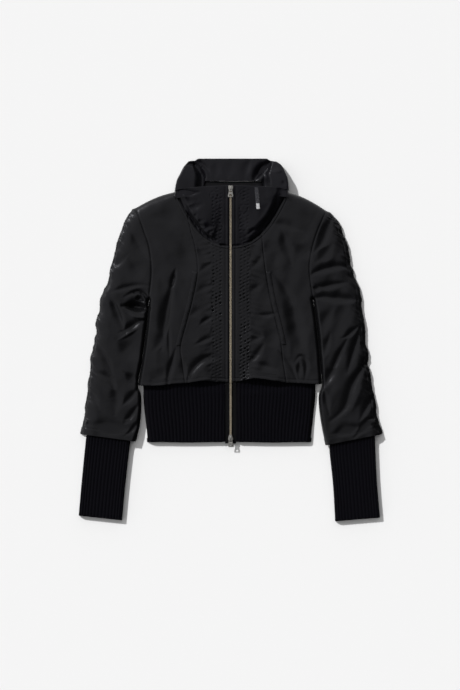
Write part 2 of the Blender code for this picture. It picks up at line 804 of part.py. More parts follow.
def cuff_ring(sections, row, top_steps, bottom_steps, layer):
    """One ring of the cuff's face, or of its plain inside."""
    outer_x, outer_y, inner_x, inner_y, floor = spline(sections, row)
    floor = max(floor, 0.0)
    outer = Vector((outer_x, outer_y, 0.0))
    inner = Vector((inner_x, inner_y, 0.0))
    width = (inner - outer).length
    across = (inner - outer) / width
    half = CUFF_THICKNESS / 2.0
    shrink = KNIT_WALL if layer == "inside" else 0.0
    points = []
    for i in range(top_steps + 1):
        u = 0.5 - 0.5 * math.cos(math.pi * i / top_steps)
        u = mix(i / top_steps, u, 0.35)
        height = (half - shrink) * roll(min(u, 1.0 - u) * width + ROLL_START, half)
        raised = RIB_RISE if layer == "face" and i % 2 else 0.0
        place = mix(shrink, width - shrink, u)
        points.append(outer + across * place + Vector((0.0, 0.0, floor + half + height + raised)))
    for i in range(1, bottom_steps):
        u = 1.0 - (0.5 - 0.5 * math.cos(math.pi * i / bottom_steps))
        place = mix(shrink, width - shrink, u)
        points.append(outer + across * place + Vector((0.0, 0.0, floor + shrink)))
    return points


# ---------------------------------------------------------------- rib hem

def hem_rib_front(side, collection):
    """Rib knit below the shell's hem: zip edge at u = 0, side edge at u = 1."""
    sign = sign_of(side)
    column = 1 if side == "right" else 2
    last = len(HEM_RIB_SECTIONS) - 1
    width = abs(HEM_RIB_SECTIONS[1][column]) - HEM_RIB_ZIP_EDGE
    ribs = round(width / RIB_PITCH_HEM)
    low = KNIT_WALL + SEAM_GAP

    def surface(u, v):
        section = spline(HEM_RIB_SECTIONS, v * last)
        y = section[0]
        edge = abs(section[column])
        x = mix(HEM_RIB_ZIP_EDGE, edge, u)
        top = KNIT_LOFT - 0.7 * (1.0 - smooth((y - HEM_RIB_FOOT_Y) / 6.0))
        return sign * x, y, low + (top - low) * roll(edge - x, 14.0)

    across = even(ribs * 2 - 4, 0.0, 0.955) + [0.972, 0.985, 0.995, 1.0]

    def relief(number, row):
        return RIB_RISE if number % 2 and number < len(across) - 2 else 0.0

    along = [0.0, 0.03, 0.5, 1.0]
    return cloth("hem_rib_front_" + side, surface, across, along, KNIT_WALL, "black_rib_knit", collection, relief,
                 floor=low)


def hem_rib_back(collection):
    """Rib knit below the back, flat on the floor."""
    last = len(HEM_RIB_SECTIONS) - 1
    top = max(FRONT_SECTIONS["right"][0][0], FRONT_SECTIONS["left"][0][0])

    def surface(u, v):
        y = mix(HEM_RIB_FOOT_Y, min(top, -96.5) - SEAM_GAP, v)
        row = last * (y - HEM_RIB_SECTIONS[0][0]) / (HEM_RIB_SECTIONS[-1][0] - HEM_RIB_SECTIONS[0][0])
        section = spline(HEM_RIB_SECTIONS, row)
        return mix(section[1], section[2], u), y, KNIT_WALL

    return cloth("hem_rib_back", surface, even(4), even(4), KNIT_WALL, "black_rib_knit", collection)


# ---------------------------------------------------------------- zip

def zip_strip(name, x0, x1, y0, y1, rise, wall, material, collection):
    """A strip that follows the zip's line, its face at the given rise above it."""
    knots = [y for y, z in ZIP_LINE]
    stops = sorted(knots + [mix(a, b, part) for a, b in zip(knots, knots[1:]) for part in (0.25, 0.5, 0.75)])
    along = [(y - y0) / (y1 - y0) for y in [y0] + [stop for stop in stops if y0 < stop < y1] + [y1]]

    def surface(u, v):
        y = mix(y0, y1, v)
        return mix(x0, x1, u), y, zip_z(y) + rise

    return cloth(name, surface, even(1), along, wall, material, collection)


def box(mesh, centre, size):
    made = bmesh.ops.create_cube(mesh, size=1.0)
    for vertex in made["verts"]:
        vertex.co = Vector([c + s * p for c, s, p in zip(centre, size, vertex.co)])


def mesh_of(name, build):
    mesh = bmesh.new()
    build(mesh)
    data = bpy.data.meshes.new(name)
    mesh.to_mesh(data)
    mesh.free()
    return data


def helper(name, build, collection):
    item = bpy.data.objects.new(name, mesh_of(name, build))
    item.display_type = "WIRE"
    item.hide_render = True
    collection.objects.link(item)
    return item


def join(item, other, operation):
    modifier = item.modifiers.new(operation.lower() + "_" + other.name, "BOOLEAN")
    modifier.operation = operation
    modifier.solver = "EXACT"
    modifier.object = other


def hinge_point(end):
    """The pull tab's hinge: the bar under the slider's bridge."""
    y = SLIDER_Y[end]
    plate_top = zip_z(y) + PLATE_LIFT + PLATE
    return Vector((0.0, y, plate_top + PULL_CLEARANCE + PULL_BAR_RADIUS))


def slider(end, collection, cutters):
    """A slider: two plates, the neck between them, and the bridge that holds the pull tab."""
    y = SLIDER_Y[end]
    line = zip_z(y)
    top_z = line + PLATE_LIFT + PLATE / 2.0
    bottom_z = line - SHELL_WALL - TAPE_DROP - TAPE_WALL - 2.0 * SEAM_GAP - PLATE / 2.0
    toward = 1.0 if end == "top" else -1.0
    hinge = hinge_point(end)
    bridge_low = hinge.z + PULL_BAR_RADIUS + PULL_CLEARANCE
    bridge_top = bridge_low + BRIDGE_WALL
    plate_top = top_z + PLATE / 2.0
    name = "slider_" + end

    def plates(mesh):
        box(mesh, Vector((0.0, y, top_z)) * MM, Vector((SLIDER_WIDTH, SLIDER_LENGTH, PLATE)) * MM)

    def lower(mesh):
        box(mesh, Vector((0.0, y, bottom_z)) * MM, Vector((SLIDER_WIDTH - 1.0, SLIDER_LENGTH, PLATE)) * MM)

    def neck(mesh):
        centre = Vector((0.0, y + toward * (SLIDER_LENGTH / 2.0 - 2.0), (top_z + bottom_z) / 2.0))
        box(mesh, centre * MM, Vector((2.0, 3.0, top_z - bottom_z)) * MM)

    def bridge(mesh):
        centre = Vector((0.0, y, (plate_top - 0.4 + bridge_top) / 2.0))
        size = Vector((BRIDGE_WIDTH, BRIDGE_REACH * 2.0, bridge_top - plate_top + 0.4))
        box(mesh, centre * MM, size * MM)

    def window(mesh):
        centre = Vector((0.0, y, (plate_top + bridge_low) / 2.0))
        size = Vector((BRIDGE_WIDTH * 2.0, (BRIDGE_REACH - BRIDGE_WALL) * 2.0, bridge_low - plate_top))
        box(mesh, centre * MM, size * MM)

    item = place_object(name, mesh_of(name, plates), "nickel", collection)
    join(item, helper(name + "_bridge", bridge, cutters), "UNION")
    join(item, helper(name + "_window", window, cutters), "DIFFERENCE")
    join(item, helper(name + "_neck", neck, cutters), "UNION")
    join(item, helper(name + "_lower", lower, cutters), "UNION")
    return item


def pull_tab(end, collection, cutters):
    """A tapered pull with a hinge bar, a slot for the bridge and a round hole, lying toward the hem."""
    hinge = hinge_point(end)
    name = "pull_tab_" + end
    slot_length = BRIDGE_REACH + 1.0

    def plate(mesh):
        made = bmesh.ops.create_cube(mesh, size=1.0)
        for vertex in made["verts"]:
            tip = vertex.co.y < 0.0
            width = PULL_TIP if tip else PULL_HEAD
            y = -PULL_LENGTH if tip else 0.0
            vertex.co = Vector((vertex.co.x * width, y, vertex.co.z * PULL_BAR_RADIUS * 2.0)) * MM

    def bar(mesh):
        made = bmesh.ops.create_cone(
            mesh, cap_ends=True, segments=16, radius1=PULL_BAR_RADIUS * 1.001 * MM,
            radius2=PULL_BAR_RADIUS * 1.001 * MM, depth=(PULL_HEAD - 0.4) * MM)
        for vertex in made["verts"]:
            vertex.co = Vector((vertex.co.z, vertex.co.y, vertex.co.x))

    def slot(mesh):
        centre = Vector((0.0, -slot_length / 2.0 - 0.2, 0.0))
        box(mesh, centre * MM, Vector((BRIDGE_WIDTH + 1.0, slot_length + 0.4, 4.0)) * MM)

    def hole(mesh):
        made = bmesh.ops.create_cone(
            mesh, cap_ends=True, segments=20, radius1=2.1 * MM, radius2=2.1 * MM, depth=4.0 * MM)
        for vertex in made["verts"]:
            vertex.co.y -= (PULL_LENGTH - 4.2) * MM

    item = place_object(name, mesh_of(name, plate), "nickel", collection)
    item.location = hinge * MM
    for suffix, build, operation in (("slot", slot, "DIFFERENCE"), ("hole", hole, "DIFFERENCE"),
                                     ("bar", bar, "UNION")):
        other = helper(name + "_" + suffix, build, cutters)
        other.location = hinge * MM
        join(item, other, operation)
    return item


def zip_fastener(collection, cutters):
    rise = -SHELL_WALL - TAPE_DROP
    zip_strip("zip_tape_right", -TAPE_HALF, -1.6, ZIP_FOOT_Y, ZIP_TOP_Y, rise, TAPE_WALL, "zip_tape", collection)
    zip_strip("zip_tape_left", 1.6, TAPE_HALF, ZIP_FOOT_Y, ZIP_TOP_Y, rise, TAPE_WALL, "zip_tape", collection)
    zip_strip("zip_chain", -CHAIN_HALF, CHAIN_HALF, SLIDER_Y["bottom"] + 1.0, SLIDER_Y["top"] - 1.0, CHAIN_RISE,
              CHAIN_WALL, "aged_brass", collection)
    for end in SLIDER_Y:
        slider(end, collection, cutters)
        pull_tab(end, collection, cutters)


# ---------------------------------------------------------------- the jacket

def new_collection(name):
    collection = bpy.data.collections.new(name)
    bpy.context.scene.collection.children.link(collection)
    return collection


def main():
    for item in list(bpy.data.objects):
        bpy.data.objects.remove(item, do_unlink=True)
    jacket = new_collection(COLLECTION)
    cutters = new_collection("cutters")
    back(jacket)
    neck_facing(jacket)
    collar_back(jacket)
    hem_rib_back(jacket)
    for side in ("right", "left"):
        front_side(side, jacket)
        front_centre(side, jacket)
        body_bands(side, jacket)
        collar_front(side, jacket)
        collar_bands(side, jacket)
        pocket_welt(side, jacket)
        sleeve_front(side, jacket)
        sleeve_back(side, jacket)
        cuff(side, jacket)
        hem_rib_front(side, jacket)
    collar_tab(jacket)
    zip_fastener(jacket, cutters)


main()
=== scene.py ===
# %% [markdown]
# # A cropped black satin jacket, laid flat
# The jacket lies on its back and is seen straight from above. It is a few kinds of cloth: a shiny satin shell, a
# rib knit hem and cuffs, and a metal zip with a smocked band on each side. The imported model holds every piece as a
# plain wall in its place. Here each wall gets its fine folds, its seams and its finish, in the same place.
# %% Load the frame
import math

import bpy
import numpy as np
from mathutils import Matrix, Vector, noise


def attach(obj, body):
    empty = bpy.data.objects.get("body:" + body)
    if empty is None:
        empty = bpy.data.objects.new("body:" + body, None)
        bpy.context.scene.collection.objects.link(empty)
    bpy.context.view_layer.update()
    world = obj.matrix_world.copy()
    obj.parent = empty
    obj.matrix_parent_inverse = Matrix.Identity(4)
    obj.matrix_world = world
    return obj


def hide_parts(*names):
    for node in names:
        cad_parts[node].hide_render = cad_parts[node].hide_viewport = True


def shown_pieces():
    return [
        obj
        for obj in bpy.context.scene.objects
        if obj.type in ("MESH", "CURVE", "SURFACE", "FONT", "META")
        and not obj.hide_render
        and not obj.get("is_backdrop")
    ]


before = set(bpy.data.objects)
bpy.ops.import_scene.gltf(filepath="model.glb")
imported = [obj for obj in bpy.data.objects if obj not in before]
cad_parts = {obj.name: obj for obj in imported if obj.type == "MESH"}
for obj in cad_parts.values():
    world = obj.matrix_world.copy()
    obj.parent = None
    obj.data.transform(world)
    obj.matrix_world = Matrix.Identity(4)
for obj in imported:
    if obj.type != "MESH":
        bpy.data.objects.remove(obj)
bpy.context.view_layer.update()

MM = 0.001
SIDES = ("right", "left")
bpy.ops.object.select_all(action="DESELECT")

# %% [markdown]
# ## Small helpers
# Every cloth surface below is a height over the floor at a place x, y, counted in millimetres. The helpers work on
# whole arrays of places at once, which keeps fine grids quick. A spline through a short table gives each outline.


# %% Helpers for curves
def smooth(t):
    """Eases from 0 to 1 as t does, and holds still outside."""
    t = np.clip(t, 0, 1)
    return t * t * (3 - 2 * t)


def mix(a, b, t):
    return a + (b - a) * t


def bell(distance, width):
    """1 at no distance, falling to nearly 0 two widths away."""
    return np.exp(-(distance / width) ** 2)


def spline(rows, t):
    """Columns of the smooth curve through the rows, with t counted in rows."""
    rows = np.asarray(rows, float)
    t = np.asarray(t, float)
    last = len(rows) - 1
    i = np.clip(np.floor(t).astype(int), 0, last - 1)
    f = (t - i)[..., None]
    before = rows[np.maximum(i - 1, 0)]
    start = rows[i]
    end = rows[i + 1]
    after = rows[np.minimum(i + 2, last)]
    slope_in = (end - before) / 2
    slope_out = (after - start) / 2
    point = (start * (1 + 2 * f) * (1 - f) ** 2 + end * (3 - 2 * f) * f * f
             + slope_in * f * (1 - f) ** 2 - slope_out * f * f * (1 - f))
    return np.moveaxis(point, -1, 0)


def fine_line(rows, steps=6):
    return [tuple(spline(rows, i / steps)) for i in range((len(rows) - 1) * steps + 1)]


def line_distance(x, y, points):
    """Distance to a line of points, how far along it the nearest place lies, from 0 to 1, and the way to x, y."""
    points = [(float(p[0]), float(p[1])) for p in points]
    lengths = [math.dist(a, b) for a, b in zip(points, points[1:])]
    total = sum(lengths)
    nearest = np.full(np.shape(x), 1e9)
    share = np.zeros(np.shape(x))
    away_x = np.zeros(np.shape(x))
    away_y = np.zeros(np.shape(x))
    passed = 0
    for (ax, ay), (bx, by), length in zip(points, points[1:], lengths):
        t = ((x - ax) * (bx - ax) + (y - ay) * (by - ay)) / max(length * length, 1e-9)
        t = np.clip(t, 0, 1)
        dx = x - ax - t * (bx - ax)
        dy = y - ay - t * (by - ay)
        d = np.hypot(dx, dy)
        closer = d < nearest
        nearest = np.where(closer, d, nearest)
        share = np.where(closer, (passed + t * length) / total, share)
        away_x = np.where(closer, dx, away_x)
        away_y = np.where(closer, dy, away_y)
        passed += length
    return nearest, share, away_x, away_y


# Brings the noise out to about -1 and 1
NOISE_GAIN = 1.6


def rumple(x, y, size, seed):
    """Smooth uneven heights from -1 to 1, with hills about size apart."""
    flat = np.array([noise.noise(Vector((px / size, py / size, seed)))
                     for px, py in zip(np.ravel(x), np.ravel(y))])
    return flat.reshape(np.shape(x)) * NOISE_GAIN


def even(count, start=0, end=1):
    return np.linspace(start, end, count + 1)


def stretches(*parts):
    """Even steps over stretches that follow each other. A part is a count, a start and an end."""
    return np.concatenate([even(*part)[min(k, 1):] for k, part in enumerate(parts)])


def crowded(count, near=0.35):
    """Values from 0 to 1, closer together near both ends."""
    t = np.linspace(0, 1, count + 1)
    return mix(0.5 - 0.5 * np.cos(np.pi * t), t, near)


# %% [markdown]
# ## The jacket's named sizes
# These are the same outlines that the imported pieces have: the side edge and armhole, the princess seam, the
# sleeve's two edges, the cuffs and the neck. Left and right are the wearer's, and x is positive on the left.
# %% Sizes of the shell
# Heights of the shell over the floor: where it rests on the back, and its top on the body and on the sleeves
OVER_BACK = 2
LOFT = 21
SLEEVE_LOFT = 20
# How wide its edge curves down at the folded outer edge, at the side seam, and where a curve starts
EDGE_ROLL = 30
FRONT_ROLL = 13
SIDE_ROLL = 8
ROLL_START = 0.3
SHELL_WALL = 1
COLLAR_WALL = 1.2
BACK_FACE = 0.9
SIGN = {"right": -1, "left": 1}

# Fronts, hem to neck: y, then x of the side or armhole, and x of the princess seam
FRONT_SECTIONS = {
    "right": ((-96, -195, -97), (-48, -187, -103), (-14, -182, -106), (37, -176.5, -93),
              (85, -174, -80.5), (144, -168, -70), (196, -173, -75), (230, -184, -84),
              (262, -195, -91.5)),
    "left": ((-94, 192, 119), (-48, 189.5, 112), (-12, 187, 108), (37, 181.5, 97),
             (85, 176, 85), (144, 168, 75), (180, 171, 70.5), (206, 177, 68),
             (230, 185, 67)),
}
ARMHOLE_TOP = {"right": ((-199, 274), (-202, 281.5)), "left": ((196, 256), (204.5, 275))}
ARMPIT_ROW = 4
# How far the shoulder seam swells up in its middle
SHOULDER_BULGE = 4.5

# Sleeves below the armpit, hem to armpit: inner x, inner y, outer x, outer y
SLEEVE_SECTIONS = {
    "right": ((-202, -217, -321, -201), (-193.5, -185, -315.5, -177), (-190, -148, -309, -144),
              (-191, -116, -304.5, -108), (-197, -96, -301, -78), (-189, -48, -296, -40),
              (-183.4, -8, -290.5, -4), (-178, 40, -285, 42)),
    "left": ((202, -225, 321, -201), (194, -187, 315.5, -177), (188.5, -150, 309, -146),
             (187.5, -118, 303, -110), (194, -94, 297, -78), (191, -48, 291.5, -40),
             (188, -8, 287, -2), (183, 38, 283, 42)),
}
# Sleeves' outer edge beside the armhole, from the armpit up: x, y
SLEEVE_CAP = {
    "right": ((-277, 82), (-259, 146), (-241, 200), (-230, 233), (-219, 259),
              (-214, 271), (-210.5, 278.5)),
    "left": ((278, 82), (258.5, 146), (249.5, 182), (243, 208), (233, 234),
             (223, 256), (213.5, 271.5)),
}

# How far the gathered seam bulges out of the sleeve's plain outline: y, millimetres
BULGES = {
    "right": ((-200, 0), (-160, 0), (-143, 3), (-128, 2), (-112, 1), (-92, 3), (-75, 0.8), (-62, 1),
              (-37, 4.6), (-24, 1.8), (-16, 2.3), (-8, 0.5), (2, 1.8), (14, -1.8), (35, 3.2), (48, 1.7),
              (60, -1.2), (87, 3.3), (104, 0.6), (121, -3.6), (134, -2.6), (150, 0.4), (172, 0.6),
              (190, 2.6), (207, 4.7), (235, 3.8), (254, 5), (264, 3.6), (276, 0)),
    "left": ((-200, 3), (-175, 1.5), (-160, 0.1), (-140, 3.3), (-119, 2.6), (-106, 1), (-93, 1.7), (-75, 3.1),
             (-63, 2), (-54, -0.5), (-37, 4), (-26, 4.8), (-8, 0.6), (5, 2), (22, 3.2), (40, 2.7), (57, 0.5),
             (72, -0.2), (88, 3.8), (112, 6), (125, 3.9), (136, 2), (147, 4.3), (158, 1.8), (172, 4),
             (185, 5), (198, 6), (215, 5), (226, 3.9), (241, 6.9), (254, 5.6), (264, 2), (272, 0)),
}

# %% Sizes of the cuffs
CUFF_THICKNESS = 12
# From inside the sleeve to the hand: outer x, outer y, inner x, inner y, height of the underside
CUFF_SECTIONS = {
    "right": ((-304.5, -184, -212, -195, 2.1), (-308, -206, -214.5, -218, 2.1),
              (-310.5, -226, -216.5, -236, 0), (-318, -302, -225, -310, 0),
              (-324.5, -376, -232, -386, 0)),
    "left": ((306, -184, 210.5, -200, 2.1), (308, -206, 212, -222, 2.1),
             (308.8, -228, 211.5, -240, 0), (312.5, -304, 219, -312, 0),
             (319, -380, 223.5, -388, 0)),
}

# %% Sizes of the neck, collar and zip line
# The neck seam: its lowest place, how far it rises to the shoulder, how round it is, and its half width
NECK_CENTRE_Y = 198
NECK_DEPTH = 119
NECK_POWER = 2.4
NECK_HALF = {"right": 118, "left": 122}
# From the neck seam to the line of stitches under it
NECK_STITCH = 5.5
# The collar's lip, how far it droops at the sides, its height, and the steep part that rises to it
LIP_Y = 325.5
LIP_DROP = {"right": 8, "left": 5.5}
LIP_Z = 33
COLLAR_FOOT_Z = 16
COLLAR_SLOPE = {"right": 15, "left": 25}
# Out from the zip's middle: the cloth's edge, its line of stitches, the flat placket, the smocked band's edge
ZIP_EDGE = 3.4
PLACKET_STITCH = 10.5
PLACKET = 14
BAND_EDGE = 48
# Over these widths the placket's height gives way to the front's and to the collar's
BLEND = 46
FOOT_BLEND = 26
BAND_HEM_RISE = 5
# Where the lamps stand in the picture, which is also the side that creases lean to
LAMP_WAY = (-0.72, 0.69)
# The zip's line: y, height
ZIP_LINE = ((-222, 11.8), (-112, 12), (-92, 15), (-40, 18.5), (60, 21), (190, 22),
            (240, 27), (290, 32.5), (326, 35))


def neck_y(x, side):
    return NECK_CENTRE_Y + NECK_DEPTH * (np.abs(x) / NECK_HALF[side]) ** NECK_POWER


def lip_y(x, side):
    return LIP_Y - LIP_DROP[side] * (x / NECK_HALF[side]) ** 2


def zip_z(y):
    ys = np.array([row[0] for row in ZIP_LINE])
    zs = np.array([row[1] for row in ZIP_LINE])
    i = np.clip(np.searchsorted(ys, y) - 1, 0, len(ys) - 2)
    t = np.clip((y - ys[i]) / (ys[i + 1] - ys[i]), 0, 1)
    return mix(zs[i], zs[i + 1], 0.5 * smooth(t) + 0.5 * t)


def side_rows(side):
    """The side edge from the hem to the armpit, then the armhole to the shoulder."""
    return [(row[1], row[0]) for row in FRONT_SECTIONS[side]] + list(ARMHOLE_TOP[side])


def seam_rows(side):
    """The princess seam from the hem to the neck, then the neck seam to the shoulder."""
    rows = [(seam, y) for y, x, seam in FRONT_SECTIONS[side][:-1]]
    start = FRONT_SECTIONS[side][-1][2]
    end = SIGN[side] * (NECK_HALF[side] - 0.5)
    steps = len(ARMHOLE_TOP[side])
    for i in range(steps + 1):
        x = mix(start, end, i / steps)
        rows.append((x, float(neck_y(x, side))))
    return rows


def sleeve_rows(side):
    return len(SLEEVE_SECTIONS[side]) + len(SLEEVE_CAP[side]) - 1


def sleeve_inner(side, t):
    """Inner edge of the sleeve: its own below the armpit, the armhole above."""
    lower = [row[:2] for row in SLEEVE_SECTIONS[side]]
    count = len(lower)
    armpit = side_rows(side)[ARMPIT_ROW]
    below = spline(lower + [armpit], np.minimum(t, count))
    above = spline(side_rows(side), ARMPIT_ROW + np.maximum(t - count, 0))
    return np.where(np.asarray(t) >= count, above, below)


def sleeve_outer(side, t):
    x, y = spline([row[2:] for row in SLEEVE_SECTIONS[side]] + list(SLEEVE_CAP[side]), t)
    places = np.array([row[0] for row in BULGES[side]], float)
    sizes = np.array([row[1] for row in BULGES[side]], float)
    row = np.clip(np.searchsorted(places, y) - 1, 0, len(places) - 2)
    t = smooth((y - places[row]) / (places[row + 1] - places[row]))
    return x + SIGN[side] * mix(sizes[row], sizes[row + 1], t), y


def shoulder_point(side, u):
    outer = side_rows(side)[-1]
    inner = seam_rows(side)[-1]
    return mix(outer[0], inner[0], u), mix(outer[1], inner[1], u) + SHOULDER_BULGE * np.sin(np.pi * u)


def folded_edge(side):
    points = [shoulder_point(side, 1 - i / 8) for i in range(9)]
    count = sleeve_rows(side)
    return points + [tuple(sleeve_outer(side, count - i / 6)) for i in range(count * 6 + 1)]


def side_gap(side):
    count = len(SLEEVE_SECTIONS[side])
    return [tuple(sleeve_inner(side, count - i / 3)) for i in range(count * 3 + 1)]


FOLDED_EDGE = {side: folded_edge(side) for side in SIDES}
SIDE_GAP = {side: side_gap(side) for side in SIDES}
print("shoulder to cuff, mm", round(float(np.sum(np.hypot(*np.diff(np.array(FOLDED_EDGE["left"]).T, axis=1))))))

# %% [markdown]
# ## Folds and creases
# Satin is thin and stiff, so a shell that is laid down keeps long soft troughs where it was bent, and short sharp
# creases where it was pressed. A crease here is a line of two or more places with a half width and a height, which
# is negative for a trough. A bell curve across it and a taper at its ends make it soft. The deepest trough and the
# highest ridge at a place count, so creases that cross don't pile up.
# %% Tables of creases
# half width, height, then places along the crease
BODY_CREASES = (
    (4.2, -4.8, (-115, 158), (-119, 138), (-124, 116), (-130, 92)),
    (9.5, -6.8, (-121, 126), (-128, 96), (-134, 66), (-139, 36), (-143, 4), (-146, -22)),
    (4, -2.6, (-130, 46), (-131, 12), (-130, -16), (-130, -42)),
    (11, -3, (-136, 20), (-150, -6), (-164, -24)),
    (15, 2, (-154, 130), (-160, 30), (-156, -60)),
    (6, -4, (-117, -22), (-124, -50), (-131, -78), (-134, -108)),
    (13, -2.4, (-132, -60), (-158, -86), (-176, -96)),
    (7, -2.2, (-106, -36), (-100, -62), (-97, -96)),
    (8.5, -4.5, (-94, -100), (-78, -64), (-54, -42), (-30, -40), (-6, -42)),
    (9, 0.8, (-82, -96), (-62, -66), (-38, -60)),
    (5, -3.3, (-66, 30), (-50, 42), (-36, 50)),
    (8, -1.8, (-90, 48), (-74, 58), (-58, 64)),
    (5, -3, (-76, -12), (-56, -2), (-34, 8)),
    (18, -2, (-100, 250), (-130, 258), (-166, 258)),
    (22, -2.4, (-100, 216), (-96, 170), (-98, 120)),
    (9, -2, (-70, 198), (-60, 178), (-46, 164)),
    (6, -2.2, (-66, 144), (-50, 155), (-34, 162)),
    (7, -2, (-74, 100), (-52, 110), (-34, 116)),
    (8.5, -5.4, (90, 140), (108, 118), (122, 96), (134, 70), (142, 40)),
    (15, -8, (112, 104), (130, 66), (141, 28), (150, -8), (160, -34)),
    (12, 2, (108, 76), (120, 24), (128, -36)),
    (5, -3.3, (102, -24), (118, -42), (132, -62), (142, -94)),
    (5, -3.3, (136, -50), (148, -36), (158, -42), (162, -60), (158, -86)),
    (5.5, -3, (147, -46), (146, -84)),
    (7.5, -3.9, (32, -58), (52, -38), (72, -8)),
    (4.4, -2.9, (56, 54), (76, 51), (98, 56)),
    (5, -2.4, (42, 18), (56, 9), (76, 3)),
    (6, -2.6, (38, -10), (56, 2), (74, 8)),
    (7, -2.2, (56, -50), (76, -60), (98, -66)),
    (13, -2.4, (72, 24), (86, 6), (100, -18)),
    (10, -2.6, (88, 248), (118, 243), (150, 232)),
    (10, -3.4, (108, 236), (118, 202), (130, 160)),
    (18, -2.4, (70, 214), (88, 186), (98, 150)),
    (11, -2.4, (136, 202), (156, 186), (172, 168)),
    (7, -2, (70, 182), (56, 162), (42, 150)),
    (6, -2, (68, 118), (52, 108), (36, 102)),
)
SLEEVE_CREASES = (
    (9, -4, (-214, 234), (-200, 208), (-186, 186), (-172, 172)),
    (13, -2.4, (-214, 170), (-198, 146), (-182, 126)),
    (8, -3, (-226, 214), (-242, 194), (-258, 180)),
    (8, -3.4, (-218, 180), (-240, 162), (-264, 150)),
    (5, -3.3, (-262, 98), (-238, 106), (-214, 112), (-192, 115), (-172, 114)),
    (4.6, -6.6, (-226, 90), (-209, 99), (-194, 101), (-182, 94), (-176, 80), (-178, 56)),
    (9.5, -18, (-230, 70), (-208, 70), (-192, 68), (-170, 64)),
    (6, -9, (-206, 84), (-192, 85), (-182, 78)),
    (4.5, 5, (-222, 58), (-207, 50), (-192, 46), (-174, 46)),
    (8, -7, (-270, 102), (-252, 82), (-240, 56), (-231, 30), (-222, 12)),
    (6.5, -4.8, (-236, 14), (-214, 25), (-198, 35), (-182, 40)),
    (3.2, 3.4, (-240, -2), (-218, 11), (-194, 26)),
    (13, -5, (-240, 0), (-216, -24), (-192, -46)),
    (7, -4.6, (-296, 8), (-274, -26), (-258, -54), (-250, -80)),
    (7, -4.6, (-300, -68), (-276, -74), (-254, -88), (-242, -120)),
    (11, -3.6, (-250, -96), (-242, -128), (-246, -160)),
    (7, -4.4, (-312, -106), (-292, -122), (-280, -146)),
    (12, -4.6, (-306, -176), (-256, -190), (-206, -188)),
    (7, -4.6, (-226, -70), (-208, -86), (-197, -104)),
    (7, -4, (-232, -142), (-214, -126), (-196, -104)),
    (6, -4, (-232, -186), (-212, -164), (-194, -136)),
    (5, -3.3, (-226, -206), (-208, -192), (-192, -168)),
    (10, -5, (218, 264), (206, 232), (194, 204), (178, 186)),
    (11, -2.6, (216, 200), (202, 180), (184, 166)),
    (8, -5.3, (166, 132), (180, 142), (206, 151), (230, 155), (258, 152)),
    (6, -4, (172, 118), (192, 112), (222, 116), (250, 122)),
    (5.5, -3.6, (172, 110), (183, 108), (194, 106)),
    (9, -5.9, (172, 84), (192, 90), (222, 88), (252, 85), (282, 84)),
    (12, -2.4, (218, 66), (204, 40), (196, 10)),
    (8, -3, (212, 12), (202, -20), (194, -44)),
    (5.5, -3.6, (236, 2), (252, 10), (274, 30)),
    (6.5, -4.3, (248, 0), (232, -32), (218, -64), (208, -84)),
    (8.5, -5.6, (226, -50), (212, -78), (196, -106)),
    (8, -5.3, (280, 32), (268, -6), (258, -40), (250, -70)),
    (9.5, -6.3, (298, -38), (274, -72), (258, -104), (244, -146), (214, -174)),
    (9, 2, (280, -100), (258, -150)),
    (8, -5.3, (312, -112), (294, -140), (276, -172)),
    (8, -5.3, (310, -162), (290, -182), (264, -208)),
    (10, -5, (280, -184), (250, -194), (216, -202)),
    (5.5, -3.6, (196, -98), (204, -130), (210, -160)),
)


# %% Height of folds and creases
# A crease's width on the side away from the lamps and on the side toward them, as shares of its own
SHORT_SIDE = 0.8
LONG_SIDE = 1.2


def creases(x, y, table):
    """The deepest trough plus the highest ridge of a table at each place. Each has a long side and a short one."""
    low = np.zeros(np.shape(x))
    high = np.zeros(np.shape(x))
    for width, height, *points in table:
        reach = 3 * width
        places = np.array(points, float)
        near = ((x > places[:, 0].min() - reach) & (x < places[:, 0].max() + reach)
                & (y > places[:, 1].min() - reach) & (y < places[:, 1].max() + reach))
        if not near.any():
            continue
        distance, along, away_x, away_y = line_distance(x[near], y[near], fine_line(points, 4))
        lean = (away_x * LAMP_WAY[0] + away_y * LAMP_WAY[1]) / np.maximum(distance, 0.05)
        ends = smooth(np.minimum(along, 1 - along) / 0.45)
        reach = width * mix(SHORT_SIDE, LONG_SIDE, smooth(0.5 + 0.5 * lean)) * mix(0.4, 1, ends)
        bump_z = height * bell(distance, reach) * mix(0.15, 1, ends)
        if height < 0:
            low[near] = np.minimum(low[near], bump_z)
        else:
            high[near] = np.maximum(high[near], bump_z)
    return low + high


def roll(distance, width):
    """0 at a folded edge, rising round a quarter of an ellipse to 1."""
    t = np.clip((distance - ROLL_START) / width, 0, 1)
    return np.sqrt(1 - (1 - t) ** 2)


print("creases", len(BODY_CREASES), "on the body,", len(SLEEVE_CREASES), "on the sleeves")

# %% [markdown]
# ## Seams, smocking and gathers
# A seam pulls the cloth down in a narrow valley, and pieces on both sides of it share that valley, so their edges
# meet. Smocking is a lattice of stitched points that pinch the cloth into small pillows. The outer sleeve seam is
# gathered over a tape, so short ridges run out from it, uneven in size.
# %% Seam valleys
PRINCESS = {side: fine_line(seam_rows(side)[:len(FRONT_SECTIONS[side])]) for side in SIDES}
ARMHOLE = {side: fine_line(side_rows(side)[ARMPIT_ROW:]) for side in SIDES}
NECK = {side: [(SIGN[side] * x, float(neck_y(x, side))) for x in np.linspace(2, NECK_HALF[side], 40)]
        for side in SIDES}
ARMHOLE_DEPTH = {"right": 1.5, "left": 0.9}


def valley(distance, depth, width):
    return -depth * bell(distance, width)


